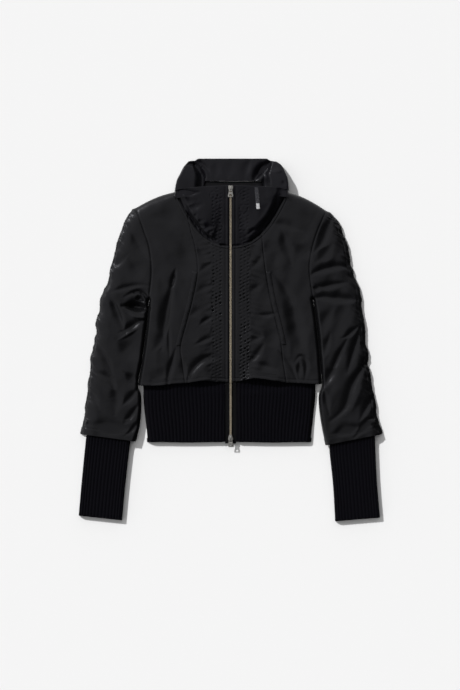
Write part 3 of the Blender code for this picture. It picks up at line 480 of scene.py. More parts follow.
def seam_valleys(x, y, side):
    """The three seams, small puckers along the princess seam, and the stitched ridge under the neck."""
    princess, armhole, neck = [line_distance(x, y, seam[side])[0] for seam in (PRINCESS, ARMHOLE, NECK)]
    pucker = 0.07 * np.sin(y / 2.3 + 0.6 * np.sin(y / 17)) * bell(princess, 6)
    return (valley(princess, 0.7, 1.4) + valley(armhole, ARMHOLE_DEPTH[side], 2) + valley(neck, 0.9, 1.2) + pucker
            + valley(neck - NECK_STITCH, 0.6, 0.9) - valley(neck - 0.55 * NECK_STITCH, 0.3, 1.3))


# %% Smocking
SMOCK_COLUMNS = {"right": (21.4, 29.1, 36.8), "left": (22, 29.7, 37.4)}
SMOCK_PITCH = 7.7
SMOCK_END = 39
# Where the smocking is pulled tight: y, share
SMOCK_TIGHT = {
    "right": ((-92, 0.5), (-40, 0.45), (10, 0.6), (35, 1.1), (70, 1.2), (105, 0.8), (140, 0.45), (205, 0.6)),
    "left": ((-92, 1), (-75, 1.2), (-30, 1.1), (0, 0.9), (40, 0.5), (75, 0.8), (100, 0.8), (150, 0.4), (205, 0.5)),
}
# Hand work is uneven, over wide patches and over narrow ones: how much, the patch's size, seed, least and most
SMOCK_UNEVEN = ((1, 19, 21, 0.3, 1.6), (1.1, 8, 27, 0.25, 1.7))


def smocking(x, y, side, strength=1):
    """Stitched points on a diamond lattice, which pinch the cloth into small pillows."""
    tight = np.interp(y, *zip(*SMOCK_TIGHT[side]))
    for share, size, seed, least, most in SMOCK_UNEVEN:
        tight = tight * np.clip(1 + share * rumple(x, y, size, seed), least, most)
    sway = 0.9 * np.sin(y / 27 + SIGN[side])
    height = np.zeros(np.shape(x))
    for column, place in enumerate(SMOCK_COLUMNS[side]):
        across = np.abs(x) - place - sway - 1.3 * rumple(np.full_like(x, place), y, 9, 33)
        row = y / SMOCK_PITCH + 0.5 * (column % 2)
        along = (row - np.round(row)) * SMOCK_PITCH
        between = SMOCK_PITCH / 2 - np.abs(along)
        height += valley(across, 1.6, 2) * bell(along, 1.5)
        height -= valley(across, 0.45, 2.6) * bell(between, 2)
        height += valley(np.abs(across) - 0.9 * np.abs(along), 0.35, 0.9) * bell(across, 4)
    return strength * tight * height


def band_tension(x, y):
    """Short sideways puckers where the plain front meets its smocked band."""
    out = np.abs(x) - SMOCK_END
    reach = np.exp(-np.clip(out, 0, 99) / 13) * smooth(out / 5)
    return 1.2 * reach * rumple(x * 0.3, y + 0.25 * out, 8, 31)


# %% Gathers along the outer sleeve seam
SEAM_FROM_EDGE = {"right": 4, "left": 10}
GATHER_SLANT = {"right": 0.9, "left": -1.1}


def gathers(d, s, side):
    """d is the distance in from the sleeve's folded edge, and s the way along it."""
    seam = d - SEAM_FROM_EDGE[side]
    slanted = s + GATHER_SLANT[side] * d
    ridge = rumple(slanted, d * 0.2, 11, 41) * np.exp(-np.abs(seam) / 9)
    crinkle = rumple(slanted, d * 0.45, 4.2, 43) * np.exp(-np.abs(seam) / 6)
    return (1.9 * ridge + 1.3 * crinkle + valley(seam, 1.1, 1.3)) * smooth((d + 3) / 7)


# %% Long soft folds
DRIFT_WAY = {"right": (0.50, -0.87), "left": (-0.45, -0.89)}


def drift(x, y, side):
    """Long shallow folds that run down and in from the gathered seam."""
    way_x, way_y = DRIFT_WAY[side]
    along = x * way_x + y * way_y
    across = x * way_y - y * way_x
    return rumple(along * 0.32, across, 20, 61)


# %% Height of the fronts and sleeves
def face_z(x, y, side, fine=True):
    """Height of the outer face of the fronts and sleeves."""
    on_sleeve = smooth((np.abs(x) - 170) / 40)
    top = mix(LOFT, SLEEVE_LOFT, on_sleeve)
    if fine:
        top = top + creases(x, y, BODY_CREASES) * (1 - smooth((np.abs(x) - 172) / 8))
        top = top + creases(x, y, SLEEVE_CREASES) * smooth((np.abs(x) - 166) / 8)
        top = top + 1.2 * rumple(x, y, 70, 3) + 0.32 * rumple(x, y, 24, 8) + 0.04 * rumple(x, y, 9, 5)
        top = top + mix(0.55, 0.85, on_sleeve) * drift(x, y, side)
    top = mix(zip_z(y), top, smooth((np.abs(x) - PLACKET) / BLEND))
    edge_width = mix(FRONT_ROLL, EDGE_ROLL, smooth((np.abs(x) - 110) / 60))
    lift = roll(line_distance(x, y, FOLDED_EDGE[side])[0], edge_width)
    lift = lift * roll(line_distance(x, y, SIDE_GAP[side])[0], SIDE_ROLL)
    height = OVER_BACK + np.maximum(top - OVER_BACK, 0) * lift
    if fine:
        height = height + seam_valleys(x, y, side) * smooth(lift / 0.35) + band_tension(x, y) * smooth(lift)
    return height


# %% [markdown]
# ## From a surface to a sheet of cloth
# Each panel is a grid that is laid over its outline, lifted to its height, and given its thickness by the Solidify
# modifier. The grid's own across and along lengths go into a UV map in metres, so a weave or a knit follows the
# cloth and stays the right size. Hems are real: the first rows turn under the edge.
# %% Sheet builder
def turned_rows(x, y, z, steps, at_start=True):
    """Rows that carry on past an edge and turn under it. A step is the move along the cloth and the drop."""
    way = 1 if at_start else -1
    x, y, z = x[::way], y[::way], z[::way]
    dx = x[1] - x[0]
    dy = y[1] - y[0]
    length = np.maximum(np.hypot(dx, dy), 1e-6)
    turned = [(x[0] + dx / length * step, y[0] + dy / length * step, z[0] - drop)
              for step, drop in reversed(steps)]
    return [np.concatenate([rows, grid])[::way] for rows, grid in zip(zip(*turned), (x, y, z))]


# The least width and length given for a sheet's cut, in metres
LEAST_FLAT = 0.01
HEM_TURN = ((-0.5, 0.5), (-0.6, 1.3), (0.3, 2), (3, 2.2), (14, 2.4))
LIP_TURN = ((-0.7, 0.7), (-0.8, 1.8), (0.6, 2.8), (6, 3.2), (18, 3.8))


def walked(steps):
    """How far along each place lies, from the steps between them."""
    return np.concatenate([[0], np.cumsum(steps)])


def sheet_mesh(name, x, y, z, wrap):
    """A mesh over the grid, face up, with its lengths as a UV map. wrap joins the last column to the first."""
    rows, columns = x.shape
    points = np.stack([x, y, z], -1) * MM
    across = columns if wrap else columns - 1
    r, c = np.meshgrid(np.arange(rows - 1), np.arange(across), indexing="ij")
    start = r * columns + c
    end = r * columns + (c + 1) % columns
    faces = np.stack([start, end, end + columns, start + columns], -1).reshape(-1, 4)
    mesh = bpy.data.meshes.new(name)
    mesh.from_pydata(points.reshape(-1, 3).tolist(), [], faces.tolist())
    u = walked(np.linalg.norm(np.diff(points, axis=1), axis=2).mean(0))
    v = walked(np.linalg.norm(np.diff(points, axis=0), axis=2).mean(1))
    closing = np.linalg.norm(points[:, 0] - points[:, -1], axis=1).mean()
    r, c = np.divmod(faces, columns)
    last_face = (np.arange(len(faces)) % across == across - 1)[:, None]
    wrapped = wrap & last_face & (c == 0)
    uvs = np.stack([np.where(wrapped, u[-1] + closing, u[c]), v[r]], -1)
    mesh.uv_layers.new(name="cloth").data.foreach_set("uv", uvs.ravel().tolist())
    return mesh


def placed(name, data):
    item = bpy.data.objects.new(name, data)
    bpy.context.scene.collection.objects.link(item)
    return item


def activate(item):
    bpy.ops.object.select_all(action="DESELECT")
    item.select_set(True)
    bpy.context.view_layer.objects.active = item


def modified(item, kind, **settings):
    """Adds a modifier with its settings and applies it to the active item."""
    modifier = item.modifiers.new(kind.lower(), kind)
    for label, value in settings.items():
        setattr(modifier, label, value)
    bpy.ops.object.modifier_apply(modifier=modifier.name)


def faces_up(item):
    """Turns the sheet over if it looks down."""
    mesh = item.data
    mesh.update()
    if sum(p.normal.z * p.area for p in mesh.polygons) < 0:
        mesh.flip_normals()


def laid_flat(x, y, z, wrap, ease):
    """The cut that a laid piece came from: width and length in metres, and area. Ease is what gathers take up."""
    points = np.stack([x, y, z], -1) * MM
    if wrap:
        points = np.concatenate([points, points[:, :1]], axis=1)
    across = np.diff(points, axis=1)
    along = np.diff(points, axis=0)
    area = float(np.linalg.norm(np.cross(across[:-1], along[:, :-1]), axis=2).sum()) * ease[0] * ease[1]
    width = float(np.linalg.norm(across, axis=2).sum(1).max()) * ease[0]
    length = float(np.linalg.norm(along, axis=2).sum(0).max()) * ease[1]
    return max(round(width, 3), LEAST_FLAT), max(round(length, 3), LEAST_FLAT), area


def cloth(name, x, y, z, wall, finish, replaced=None, wrap=False, held="laid", ease=(1, 1), rests_on=("back",)):
    """A sheet of cloth in its place, with its thickness under its face. Where it replaces a packed piece, its cut is
    printed.
    """
    item = placed(name, sheet_mesh(name, x, y, z, wrap))
    activate(item)
    if not wrap:
        faces_up(item)
    modified(item, "SOLIDIFY", thickness=wall * MM, offset=-1)
    bpy.ops.object.shade_smooth_by_angle(angle=math.radians(50))
    item.data.materials.append(bpy.data.materials[finish])
    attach(item, "jacket")
    if replaced:
        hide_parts(replaced)
        width, length, area = laid_flat(x, y, z, wrap, ease)
        area = min(area, width * length)
        print("%-28s %4.0f x %4.0f mm, %5.0f cm2, %s" % (name, width * 1000, length * 1000, area * 10000, held))
    return item


def both_sides(name, replaced, surface, wall, finish, **more):
    """The same panel on the right and on the left."""
    for side in SIDES:
        cloth(name + "_" + side, *surface(side), wall, finish, replaced + "_" + side, **more)


# %% [markdown]
# ## Shared effects: weave, knit and wear
# Effects that several finishes share are node groups. Each takes a place on the cloth in metres and gives a value
# that changes over the surface. Satin is made of long floats of thread, so its weave is fine streaks much longer
# than wide. A knit is columns of small V-shaped stitches. The shader itself stays in each material.
# %% Node helpers
def new_group(name, outputs, **sizes):
    """A group that takes a place and some sizes, and gives numbers."""
    group = bpy.data.node_groups.new(name, "ShaderNodeTree")
    group.interface.new_socket("Place", in_out="INPUT", socket_type="NodeSocketVector")
    for label, value in sizes.items():
        group.interface.new_socket(label, in_out="INPUT", socket_type="NodeSocketFloat").default_value = value
    for label in outputs:
        group.interface.new_socket(label, in_out="OUTPUT", socket_type="NodeSocketFloat")
    given = group.nodes.new("NodeGroupInput")
    return group, given.outputs, group.nodes.new("NodeGroupOutput").inputs


def link(tree, source, target):
    tree.links.new(source, target)


def maths(tree, operation, a, b=None, c=None):
    node = tree.nodes.new("ShaderNodeMath")
    node.operation = operation
    for socket, value in zip(node.inputs, (a, b, c)):
        if isinstance(value, (int, float)):
            socket.default_value = value
        elif value is not None:
            link(tree, value, socket)
    return node.outputs[0]


def stretched_noise(tree, vector, scale, detail, roughness=0.5):
    """Noise with its own scale along each axis of the cloth."""
    mapping = tree.nodes.new("ShaderNodeMapping")
    mapping.inputs["Scale"].default_value = scale
    link(tree, vector, mapping.inputs["Vector"])
    cloud = tree.nodes.new("ShaderNodeTexNoise")
    cloud.inputs["Scale"].default_value = 1
    cloud.inputs["Detail"].default_value = detail
    cloud.inputs["Roughness"].default_value = roughness
    link(tree, mapping.outputs[0], cloud.inputs["Vector"])
    return cloud.outputs[0]


# %% Satin weave group
weave, given, made = new_group("satin_weave", ("Thread", "Crush", "Cloud"))
floats = stretched_noise(weave, given["Place"], (2600, 240, 1), 2)
cross = stretched_noise(weave, given["Place"], (300, 3000, 1), 1)
link(weave, maths(weave, "MULTIPLY_ADD", floats, 0.75, maths(weave, "MULTIPLY", cross, 0.25)), made["Thread"])
crush = stretched_noise(weave, given["Place"], (95, 70, 1), 3, 0.55)
link(weave, maths(weave, "ABSOLUTE", maths(weave, "SUBTRACT", crush, 0.5)), made["Crush"])
link(weave, stretched_noise(weave, given["Place"], (14, 9, 1), 3), made["Cloud"])
print("satin weave nodes", len(weave.nodes))

# %% Rib stitch group
# A wale is a column of stitches and a course is a row of them. Both widths are in metres.
stitch, given, made = new_group("rib_stitches", ("Height", "Fuzz"), Wale=0.0019, Course=0.0021)
split = stitch.nodes.new("ShaderNodeSeparateXYZ")
link(stitch, given["Place"], split.inputs[0])
column = maths(stitch, "FRACT", maths(stitch, "DIVIDE", split.outputs["X"], given["Wale"]))
lean = maths(stitch, "ABSOLUTE", maths(stitch, "SUBTRACT", column, 0.5))
course = maths(stitch, "ADD", maths(stitch, "DIVIDE", split.outputs["Y"], given["Course"]),
               maths(stitch, "MULTIPLY", lean, 1.3))
loop_height = maths(stitch, "SINE", maths(stitch, "MULTIPLY", course, 2 * math.pi))
gap = maths(stitch, "POWER", maths(stitch, "MULTIPLY", lean, 2), 3)
link(stitch, maths(stitch, "SUBTRACT", maths(stitch, "MULTIPLY", loop_height, 0.5), gap), made["Height"])
link(stitch, stretched_noise(stitch, given["Place"], (1500, 1500, 1), 3), made["Fuzz"])
print("rib stitch nodes", len(stitch.nodes))


# %% [markdown]
# ## Finishes
# The satin is nearly black. What shows is its sheen: a soft gloss, a little streaky along the thread, that turns
# darker where the cloth tilts away from the light. The knit is matt wool and swallows light. The zip's teeth are
# aged brass, its sliders and pulls polished nickel, and the tab is a finer ribbon.
# %% Cloth finishes
# The slot that each cloth finish belongs to in the record
SLOTS = {name: name for name in ("black_satin", "collar_satin", "black_rib_knit", "zip_tape", "tab_ribbon")}
SLOTS["tab_mark"] = "tab_ribbon"


def blank_material(name, colour, roughness, metallic=0, specular=0.5):
    """A plain finish under its own name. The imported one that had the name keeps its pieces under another."""
    old = bpy.data.materials.get(name)
    if old:
        old.name = "packed_" + name
    material = bpy.data.materials.new(name)
    material.use_nodes = True
    shader = material.node_tree.nodes["Principled BSDF"]
    shader.inputs["Base Color"].default_value = (*colour, 1)
    shader.inputs["Roughness"].default_value = roughness
    shader.inputs["Metallic"].default_value = metallic
    shader.inputs["Specular IOR Level"].default_value = specular
    return material, material.node_tree, shader


def group_node(tree, group, **values):
    node = tree.nodes.new("ShaderNodeGroup")
    node.node_tree = group
    for label, value in values.items():
        node.inputs[label].default_value = value
    return node


def cloth_finish(name, colour, roughness, specular, group, **sizes):
    """A finish with a group laid out by the cloth's own lengths: its tree, its shader and the group's outputs."""
    tree, shader = blank_material(name, colour, roughness, specular=specular)[1:]
    place = tree.nodes.new("ShaderNodeUVMap")
    place.uv_map = "cloth"
    node = group_node(tree, group, **sizes)
    link(tree, place.outputs[0], node.inputs["Place"])
    return tree, shader, node.outputs


def sheen(shader, roughness):
    shader.inputs["Sheen Weight"].default_value = 0.01
    shader.inputs["Sheen Roughness"].default_value = roughness


def ranged(tree, value, low, high, start=0.3, end=0.7):
    node = tree.nodes.new("ShaderNodeMapRange")
    node.inputs["From Min"].default_value = start
    node.inputs["From Max"].default_value = end
    node.inputs["To Min"].default_value = low
    node.inputs["To Max"].default_value = high
    link(tree, value, node.inputs["Value"])
    return node.outputs[0]


def bump(tree, height, distance, strength, before=None):
    node = tree.nodes.new("ShaderNodeBump")
    node.inputs["Distance"].default_value = distance
    node.inputs["Strength"].default_value = strength
    link(tree, height, node.inputs["Height"])
    if before is not None:
        link(tree, before, node.inputs["Normal"])
    return node.outputs[0]


def two_tone(tree, mask, dark, light, target):
    ramp = tree.nodes.new("ShaderNodeMix")
    ramp.data_type = "RGBA"
    ramp.inputs["A"].default_value = (*dark, 1)
    ramp.inputs["B"].default_value = (*light, 1)
    link(tree, mask, ramp.inputs["Factor"])
    link(tree, ramp.outputs["Result"], target)


def satin(name, dark, light, roughness, specular):
    """Mottled between two tones, streaky and finely bumped along its threads, and a little crushed."""
    tree, shader, threads = cloth_finish(name, dark, roughness, specular, weave)
    two_tone(tree, ranged(tree, threads["Cloud"], 0, 1), dark, light, shader.inputs["Base Color"])
    link(tree, ranged(tree, threads["Thread"], roughness - 0.05, roughness + 0.07), shader.inputs["Roughness"])
    fine = bump(tree, threads["Thread"], 0.00005, 0.6)
    link(tree, bump(tree, threads["Crush"], 0.0006, 0.25, fine), shader.inputs["Normal"])
    shader.inputs["Anisotropic"].default_value = 0.35
    shader.inputs["Specular Tint"].default_value = (0.93, 0.93, 1, 1)
    sheen(shader, 0.5)


satin("black_satin", (0.0022, 0.0022, 0.0025), (0.0036, 0.0036, 0.0041), roughness=0.35, specular=0.255)
# The collar's finish is the body's satin made darker, bluer and less glossy: painted shade on the collar, its inside
# and the neck facing.
satin("collar_satin", (0.0018, 0.0017, 0.0026), (0.0032, 0.0030, 0.0043), roughness=0.37, specular=0.22)


def rib_wool(name, colour, wale, course):
    """Matt stitches with a fuzz of lighter fibres. The sizes of a stitch are in metres."""
    tree, shader, stitches = cloth_finish(name, colour, 0.9, 0.04, stitch, Wale=wale, Course=course)
    lighter = tuple(1.9 * c for c in colour)
    two_tone(tree, ranged(tree, stitches["Fuzz"], 0, 1), colour, lighter, shader.inputs["Base Color"])
    fuzz = bump(tree, stitches["Fuzz"], 0.00025, 0.6)
    link(tree, bump(tree, stitches["Height"], 0.0005, 0.7, fuzz), shader.inputs["Normal"])
    sheen(shader, 0.6)


rib_wool("black_rib_knit", (0.0016, 0.0015, 0.0024), wale=0.0019, course=0.0024)
rib_wool("zip_tape", (0.0045, 0.0045, 0.0050), wale=0.0009, course=0.0008)
rib_wool("black_thread", (0.010, 0.010, 0.011), wale=0.0004, course=0.0009)


# %% Ribbon, mark and metals
def ribbon(name, dark, light, roughness):
    tree, shader, threads = cloth_finish(name, dark, roughness, 0.4, stitch, Wale=0.0007, Course=0.0007)
    # Colour follows the stitches' height: painted shade darkens the hollows between them, and the raised stitches
    # are painted lighter, as if lit.
    painted_relief_shade = ranged(tree, threads["Height"], 0, 1, -1, 0.5)
    two_tone(tree, painted_relief_shade, dark, light, shader.inputs["Base Color"])
    link(tree, bump(tree, threads["Height"], 0.0002, 0.8), shader.inputs["Normal"])


ribbon("tab_ribbon", (0.022, 0.022, 0.026), (0.034, 0.034, 0.040), 0.5)
ribbon("tab_mark", (0.42, 0.42, 0.44), (0.60, 0.60, 0.60), 0.6)

wear, given, made = new_group("metal_wear", ("Tarnish", "Scratch"))
link(wear, stretched_noise(wear, given["Place"], (420, 420, 420), 4), made["Tarnish"])
link(wear, stretched_noise(wear, given["Place"], (900, 5200, 900), 2), made["Scratch"])


def metal(name, dark, light, roughness):
    """Tarnish makes it darker in tone and rougher, and fine scratches run along it."""
    tree, shader = blank_material(name, dark, roughness, metallic=1)[1:]
    place = tree.nodes.new("ShaderNodeTexCoord")
    marks = group_node(tree, wear)
    link(tree, place.outputs["Object"], marks.inputs["Place"])
    two_tone(tree, ranged(tree, marks.outputs["Tarnish"], 0, 1), dark, light, shader.inputs["Base Color"])
    link(tree, ranged(tree, marks.outputs["Tarnish"], roughness + 0.12, roughness - 0.05),
         shader.inputs["Roughness"])
    link(tree, bump(tree, marks.outputs["Scratch"], 0.00003, 0.5), shader.inputs["Normal"])


metal("aged_brass", (0.46, 0.40, 0.30), (0.80, 0.71, 0.57), 0.36)
metal("nickel", (0.26, 0.25, 0.235), (0.42, 0.41, 0.39), 0.24)
print("finishes", sorted(m.name for m in bpy.data.materials if not m.name.startswith("packed_")))

# %% [markdown]
# ## Back of the jacket
# The back lies on the floor under everything, so it is a flat sheet that shows only at the edges and from below. It
# is made first, because the fronts are sewn to its outline.
# %% Back and sleeve backs
def back_grid():
    right = side_rows("right")
    left = side_rows("left")
    last = len(right) - 1
    width = left[-1][0] - right[-1][0]
    neck_start = (seam_rows("right")[-1][0] - right[-1][0]) / width
    neck_end = (seam_rows("left")[-1][0] - right[-1][0]) / width
    u, v = np.meshgrid(stretches((14, 0, neck_start), (24, neck_start, neck_end), (14, neck_end, 1)), even(80))
    shoulder_right = shoulder_point("right", np.clip(u / neck_start, 0, 1))[1]
    shoulder_left = shoulder_point("left", np.clip((1 - u) / (1 - neck_end), 0, 1))[1]
    neck = float(neck_y(seam_rows("right")[-1][0], "right"))
    top = np.where(u < neck_start, shoulder_right, np.where(u > neck_end, shoulder_left, neck))
    x0, y0 = spline(right, v * last)
    x1, y1 = spline(left, v * last)
    y = mix(y0, y1, u) + (top - mix(right[-1][1], left[-1][1], u)) * v ** 4
    under_sleeve = 3 * (1 - smooth((y - 60) / 20))
    return mix(x0 - under_sleeve, x1 + under_sleeve, u), y


x, y = back_grid()
cloth("satin_back", x, y, np.full_like(x, BACK_FACE), BACK_FACE, "black_satin", "back", rests_on=())


def sleeve_places(side, across, along):
    """A grid over the sleeve: shares across and along it, and x and y. It starts 1 mm out from the side front."""
    last = sleeve_rows(side)
    u, v = np.meshgrid(across, along)
    x0, y0 = sleeve_inner(side, v * last)
    x1, y1 = sleeve_outer(side, v * last)
    x0 = x0 + SIGN[side] * np.where(v * last >= len(SLEEVE_SECTIONS[side]), 0, 1)
    return u, v, mix(x0, x1, u), mix(y0, y1, u)


for side in SIDES:
    u, v, x, y = sleeve_places(side, stretches((6, 0, 0.09), (8, 0.09, 1)), even(120))
    z = BACK_FACE + 0.95 * (1 - smooth((u - 0.03) / 0.04))
    cloth("satin_sleeve_back_" + side, x, y, z, BACK_FACE, "black_satin", "sleeve_back_" + side, rests_on=())

# %% [markdown]
# ## Fronts
# Each front is a side panel and a centre panel, joined at the princess seam. The columns of the grid crowd
# together near the seams, where the cloth dips. The hem is turned under and topstitched.
# %% Side fronts
# How the hem waves: x, how far up it is drawn, how far it stands off the knit
HEM_WAVE = ((-195, -1.5, 4), (-168, -1.9, 4), (-142, -0.9, 4), (-129, 1.3, 1.5), (-116, 2.4, 0),
            (-91, 3.6, 0), (-78, 3.9, 1.5), (-65, 4.9, 3.5), (-52, 4.3, 3.5), (-39, 1.7, 3.5), (-14, 1.1, 1),
            (11, -0.4, 0), (24, 1.3, 2), (37, 4.7, 4), (50, 7.1, 5.5), (62, 7.3, 6), (75, 6.4, 6.5),
            (88, 4.9, 6.5), (101, 4.5, 6), (114, 2.6, 3.5), (127, 2.1, 0.5), (152, 0.9, 1), (178, -0.6, 4),
            (195, -0.6, 4))
# Lines of points that the topstitching at the end follows
SEWN = []
# How far in from a hem its line of stitches runs, on the body and on the sleeves
HEM_STITCH = 6.5
SLEEVE_STITCH = 14


def sew_line(x, y, z, reached):
    """Keeps the line of stitches that runs where a sheet's rows first reach a distance."""
    row = np.argmax(reached, axis=0)
    column = np.arange(x.shape[1])
    SEWN.append(np.stack([x[row, column], y[row, column], z[row, column]], -1))


def hem_wave(x, column):
    wave = list(zip(*HEM_WAVE))
    return np.interp(x, wave[0], wave[column])


def waved(x, y, z):
    """Draws the hem up and off the knit, and sinks the line of stitches that holds its turned edge."""
    above = np.maximum(y - y[0], 0)
    stand = 0.4 * hem_wave(x, 2) * bell(above, 14) + valley(above - HEM_STITCH, 0.7, 1.2)
    z = z + stand * smooth((z - OVER_BACK) / 6)
    y = y + hem_wave(x, 1) * (1 - smooth(above / 60))
    sew_line(x, y, z, above >= HEM_STITCH)
    return x, y, z


def side_front(side):
    sides = side_rows(side)
    seams = seam_rows(side)
    last = len(sides) - 1
    shoulder_start = (last - len(ARMHOLE_TOP[side])) / last
    u, v = np.meshgrid(crowded(58), even(190))
    x0, y0 = spline(sides, v * last)
    x1, y1 = spline(seams, v * last)
    x = mix(x0, x1, u)
    y = mix(y0, y1, u)
    y = y + SHOULDER_BULGE * np.sin(np.pi * u) * smooth((v - shoulder_start) / (1 - shoulder_start))
    return turned_rows(*waved(x, y, face_z(x, y, side)), HEM_TURN)


both_sides("satin_front_side", "front_side", side_front, SHELL_WALL, "black_satin")


# %% Centre fronts
def centre_front(side):
    sections = FRONT_SECTIONS[side]
    seams = seam_rows(side)
    last = len(sections) - 1
    hem = sections[0][0]
    seam_x, seam_top = seams[last]
    band_x = SIGN[side] * BAND_EDGE
    band_top = float(neck_y(band_x, side))
    u, v = np.meshgrid(crowded(34, 0.5), even(170))
    x0, y0 = spline(seams, v * last)
    y1 = mix(hem + BAND_HEM_RISE, band_top, (y0 - hem) / (seam_top - hem))
    x = mix(x0, band_x, u)
    neck_sag = neck_y(mix(seam_x, band_x, u), side) - mix(seam_top, band_top, u)
    y = mix(y0, y1, u) + neck_sag * v ** 3
    return turned_rows(*waved(x, y, face_z(x, y, side) + smocking(x, y, side)), HEM_TURN)


both_sides("satin_front_centre", "front_centre", centre_front, SHELL_WALL, "black_satin")


# %% Smocked bands
def band_places(side, rows):
    """A grid from the zip out over the smocked band, finer past the placket: x, and the share up it."""
    u, v = np.meshgrid(stretches((6, 0, 0.24), (34, 0.24, 1)), even(rows))
    return SIGN[side] * mix(ZIP_EDGE, BAND_EDGE, u), v


def zip_fold(x):
    """The folded edge beside the zip: it dips at the teeth, swells a little, and is stitched down."""
    out = np.abs(x)
    return 0.5 * bell(out - 6, 2.2) + valley(out - ZIP_EDGE, 0.7, 1.5) + valley(out - PLACKET_STITCH, 0.6, 1)


def smocked_band(side):
    x, v = band_places(side, 260)
    y = mix(FRONT_SECTIONS[side][0][0] + BAND_HEM_RISE, neck_y(x, side), v)
    z = face_z(x, y, side) + smocking(x, y, side) + zip_fold(x)
    return turned_rows(*waved(x, y, z), HEM_TURN)


both_sides("satin_smocked_band", "smocked_band", smocked_band, SHELL_WALL, "black_satin",
           held="gathered", ease=(1.25, 1.05))


# %% [markdown]
# ## Pocket welts
# A welt is a narrow folded strip that stands a little proud beside the pocket's slit. It is stitched round its
# edge, so its middle is fuller than its sides.
# %% Welts
# The rows of the princess seam that a welt runs between, and its size
POCKET_SECTIONS = (2, 5)
WELT_WIDTH = 11
WELT_LONG = 150
WELT_WALL = 0.8
WELT_PROUD = 1.5


def welt(side):
    u, v = np.meshgrid(crowded(14), crowded(90, 0.8))
    seam_x, y = spline(seam_rows(side), mix(*POCKET_SECTIONS, v))
    x = seam_x + SIGN[side] * mix(WELT_WIDTH - 0.5, 0.6, u)
    inside = np.minimum(np.minimum(u, 1 - u) * WELT_WIDTH, np.minimum(v, 1 - v) * WELT_LONG)
    z = face_z(x, y, side) + 0.4 + WELT_PROUD * roll(inside, 2.6) + valley(inside - 2.2, 0.35, 0.7)
    z = z + 0.12 * np.sin(y / 3.1)
    for column in (3, 11):
        SEWN.append(np.stack([grid[2:-2, column] for grid in (x, y, z)], -1))
    return x, y, z


both_sides("satin_pocket_welt", "pocket_welt", welt, WELT_WALL, "black_satin")

# %% [markdown]
# ## Sleeves
# A sleeve's upper half runs from the armhole and inner seam to the gathered outer seam. The gathers pull the
# folded edge in and out, which gives the sleeve its uneven outline.
# %% Sleeve fronts
# From this place down the sleeve lies over its cuff. It is low at the cuff's edge and swells over its middle.
CUFF_START_Y = -164
CUFF_LOW = 3
CUFF_SWELL = 14.9


def cuff_top(x, y, side):
    """How high the sleeve must stay to clear the cuff inside it."""
    rows = CUFF_SECTIONS[side][:3]
    outer = line_distance(x, y, [row[:2] for row in rows])[0]
    inner = line_distance(x, y, [row[2:4] for row in rows])[0]
    within = (np.abs(x) - abs(rows[1][2])) * (abs(rows[1][0]) - np.abs(x)) > 0
    edge = np.where(within, np.minimum(outer, inner), 0)
    reached = smooth((CUFF_START_Y - y) / 8)
    return (CUFF_LOW + CUFF_SWELL * roll(edge + ROLL_START, 9)) * reached


def sleeve_front(side):
    u, v, x, y = sleeve_places(side, mix(crowded(66, 0.45), even(66) ** 0.8, 0.5), even(320))
    last = sleeve_rows(side)
    x0, y0 = sleeve_inner(side, v * last)
    x1, y1 = sleeve_outer(side, v * last)
    d = (1 - u) * np.hypot(x1 - x0, y1 - y0)
    along_edge = walked(np.hypot(np.diff(x1[:, 0]), np.diff(y1[:, 0])))
    s = np.broadcast_to(along_edge[:, None], d.shape)
    cap = smooth((1 - v) / 0.06)
    z = face_z(x, y, side) + gathers(d, s, side) * cap * smooth(d / 4)
    x = x + SIGN[side] * 0.7 * rumple(s, np.zeros_like(d), 4.5, 47) * np.exp(-d / 6) * cap
    above = y - y[0]
    z = z + valley(above - SLEEVE_STITCH, 0.5, 1.2) * smooth((z - 4) / 8)
    low = cuff_top(x, y, side)
    z = 0.5 * (z + low + np.sqrt((z - low) ** 2 + 1))
    sew_line(*[grid[:, 6:-8] for grid in (x, y, z, above >= SLEEVE_STITCH)])
    return turned_rows(x, y, np.maximum(z, OVER_BACK + 0.1), HEM_TURN)


for side in SIDES:
    cloth("satin_sleeve_front_" + side, *sleeve_front(side), SHELL_WALL, "black_satin",
          "sleeve_front_" + side, held="gathered", ease=(1, 1.15), rests_on=("sleeve_back_" + side,))


# %% [markdown]
# ## Collar
# The funnel collar stands on the neck seam. Its front lies nearly flat and faces up, its sides rise steeply from
# the seam, and its back shows through the mouth. Where the side turns into the back the cloth folds in on itself,
# which leaves two deep dark grooves.
# %% Collar fronts
COLLAR_CREASES = (
    (6, -5.5, (-124, 322), (-106, 314), (-88, 309), (-66, 312)),
    (9, -4, (-112, 302), (-92, 291), (-72, 292)),
    (9, -3.6, (-102, 276), (-80, 279), (-60, 286)),
    (4.4, -5, (-92, 268), (-80, 251), (-66, 242), (-52, 237), (-40, 233)),
    (5.2, -3.3, (-90, 246), (-80, 254), (-71, 268)),
    (4.2, -2.7, (-74, 234), (-67, 247), (-55, 253)),
    (5.6, -3.6, (-62, 228), (-50, 237), (-34, 240)),
    (3.4, -2.2, (-48, 214), (-43, 228), (-34, 227)),
    (4, -5, (24, 216), (38, 224), (50, 232), (62, 228)),
    (3, 3, (30, 212), (44, 218), (58, 224)),
    (9, -2, (60, 254), (72, 272), (84, 290)),
    (11, 1.4, (72, 300), (98, 308)),
    (7, -3.6, (96, 322), (108, 314), (120, 306)),
)
# The crumpled groove at the foot of the collar's right side
CRUMPLE_DEPTH = 6.8


def collar_foot(x, side):
    return neck_y(x, side) + 0.2


def neck_lean(x, side):
    """What a step in y counts for when it is measured square to the neck seam."""
    half = NECK_HALF[side]
    slope = NECK_DEPTH * NECK_POWER / half * (np.abs(x) / half) ** (NECK_POWER - 1)
    return 1 / np.hypot(1, slope)


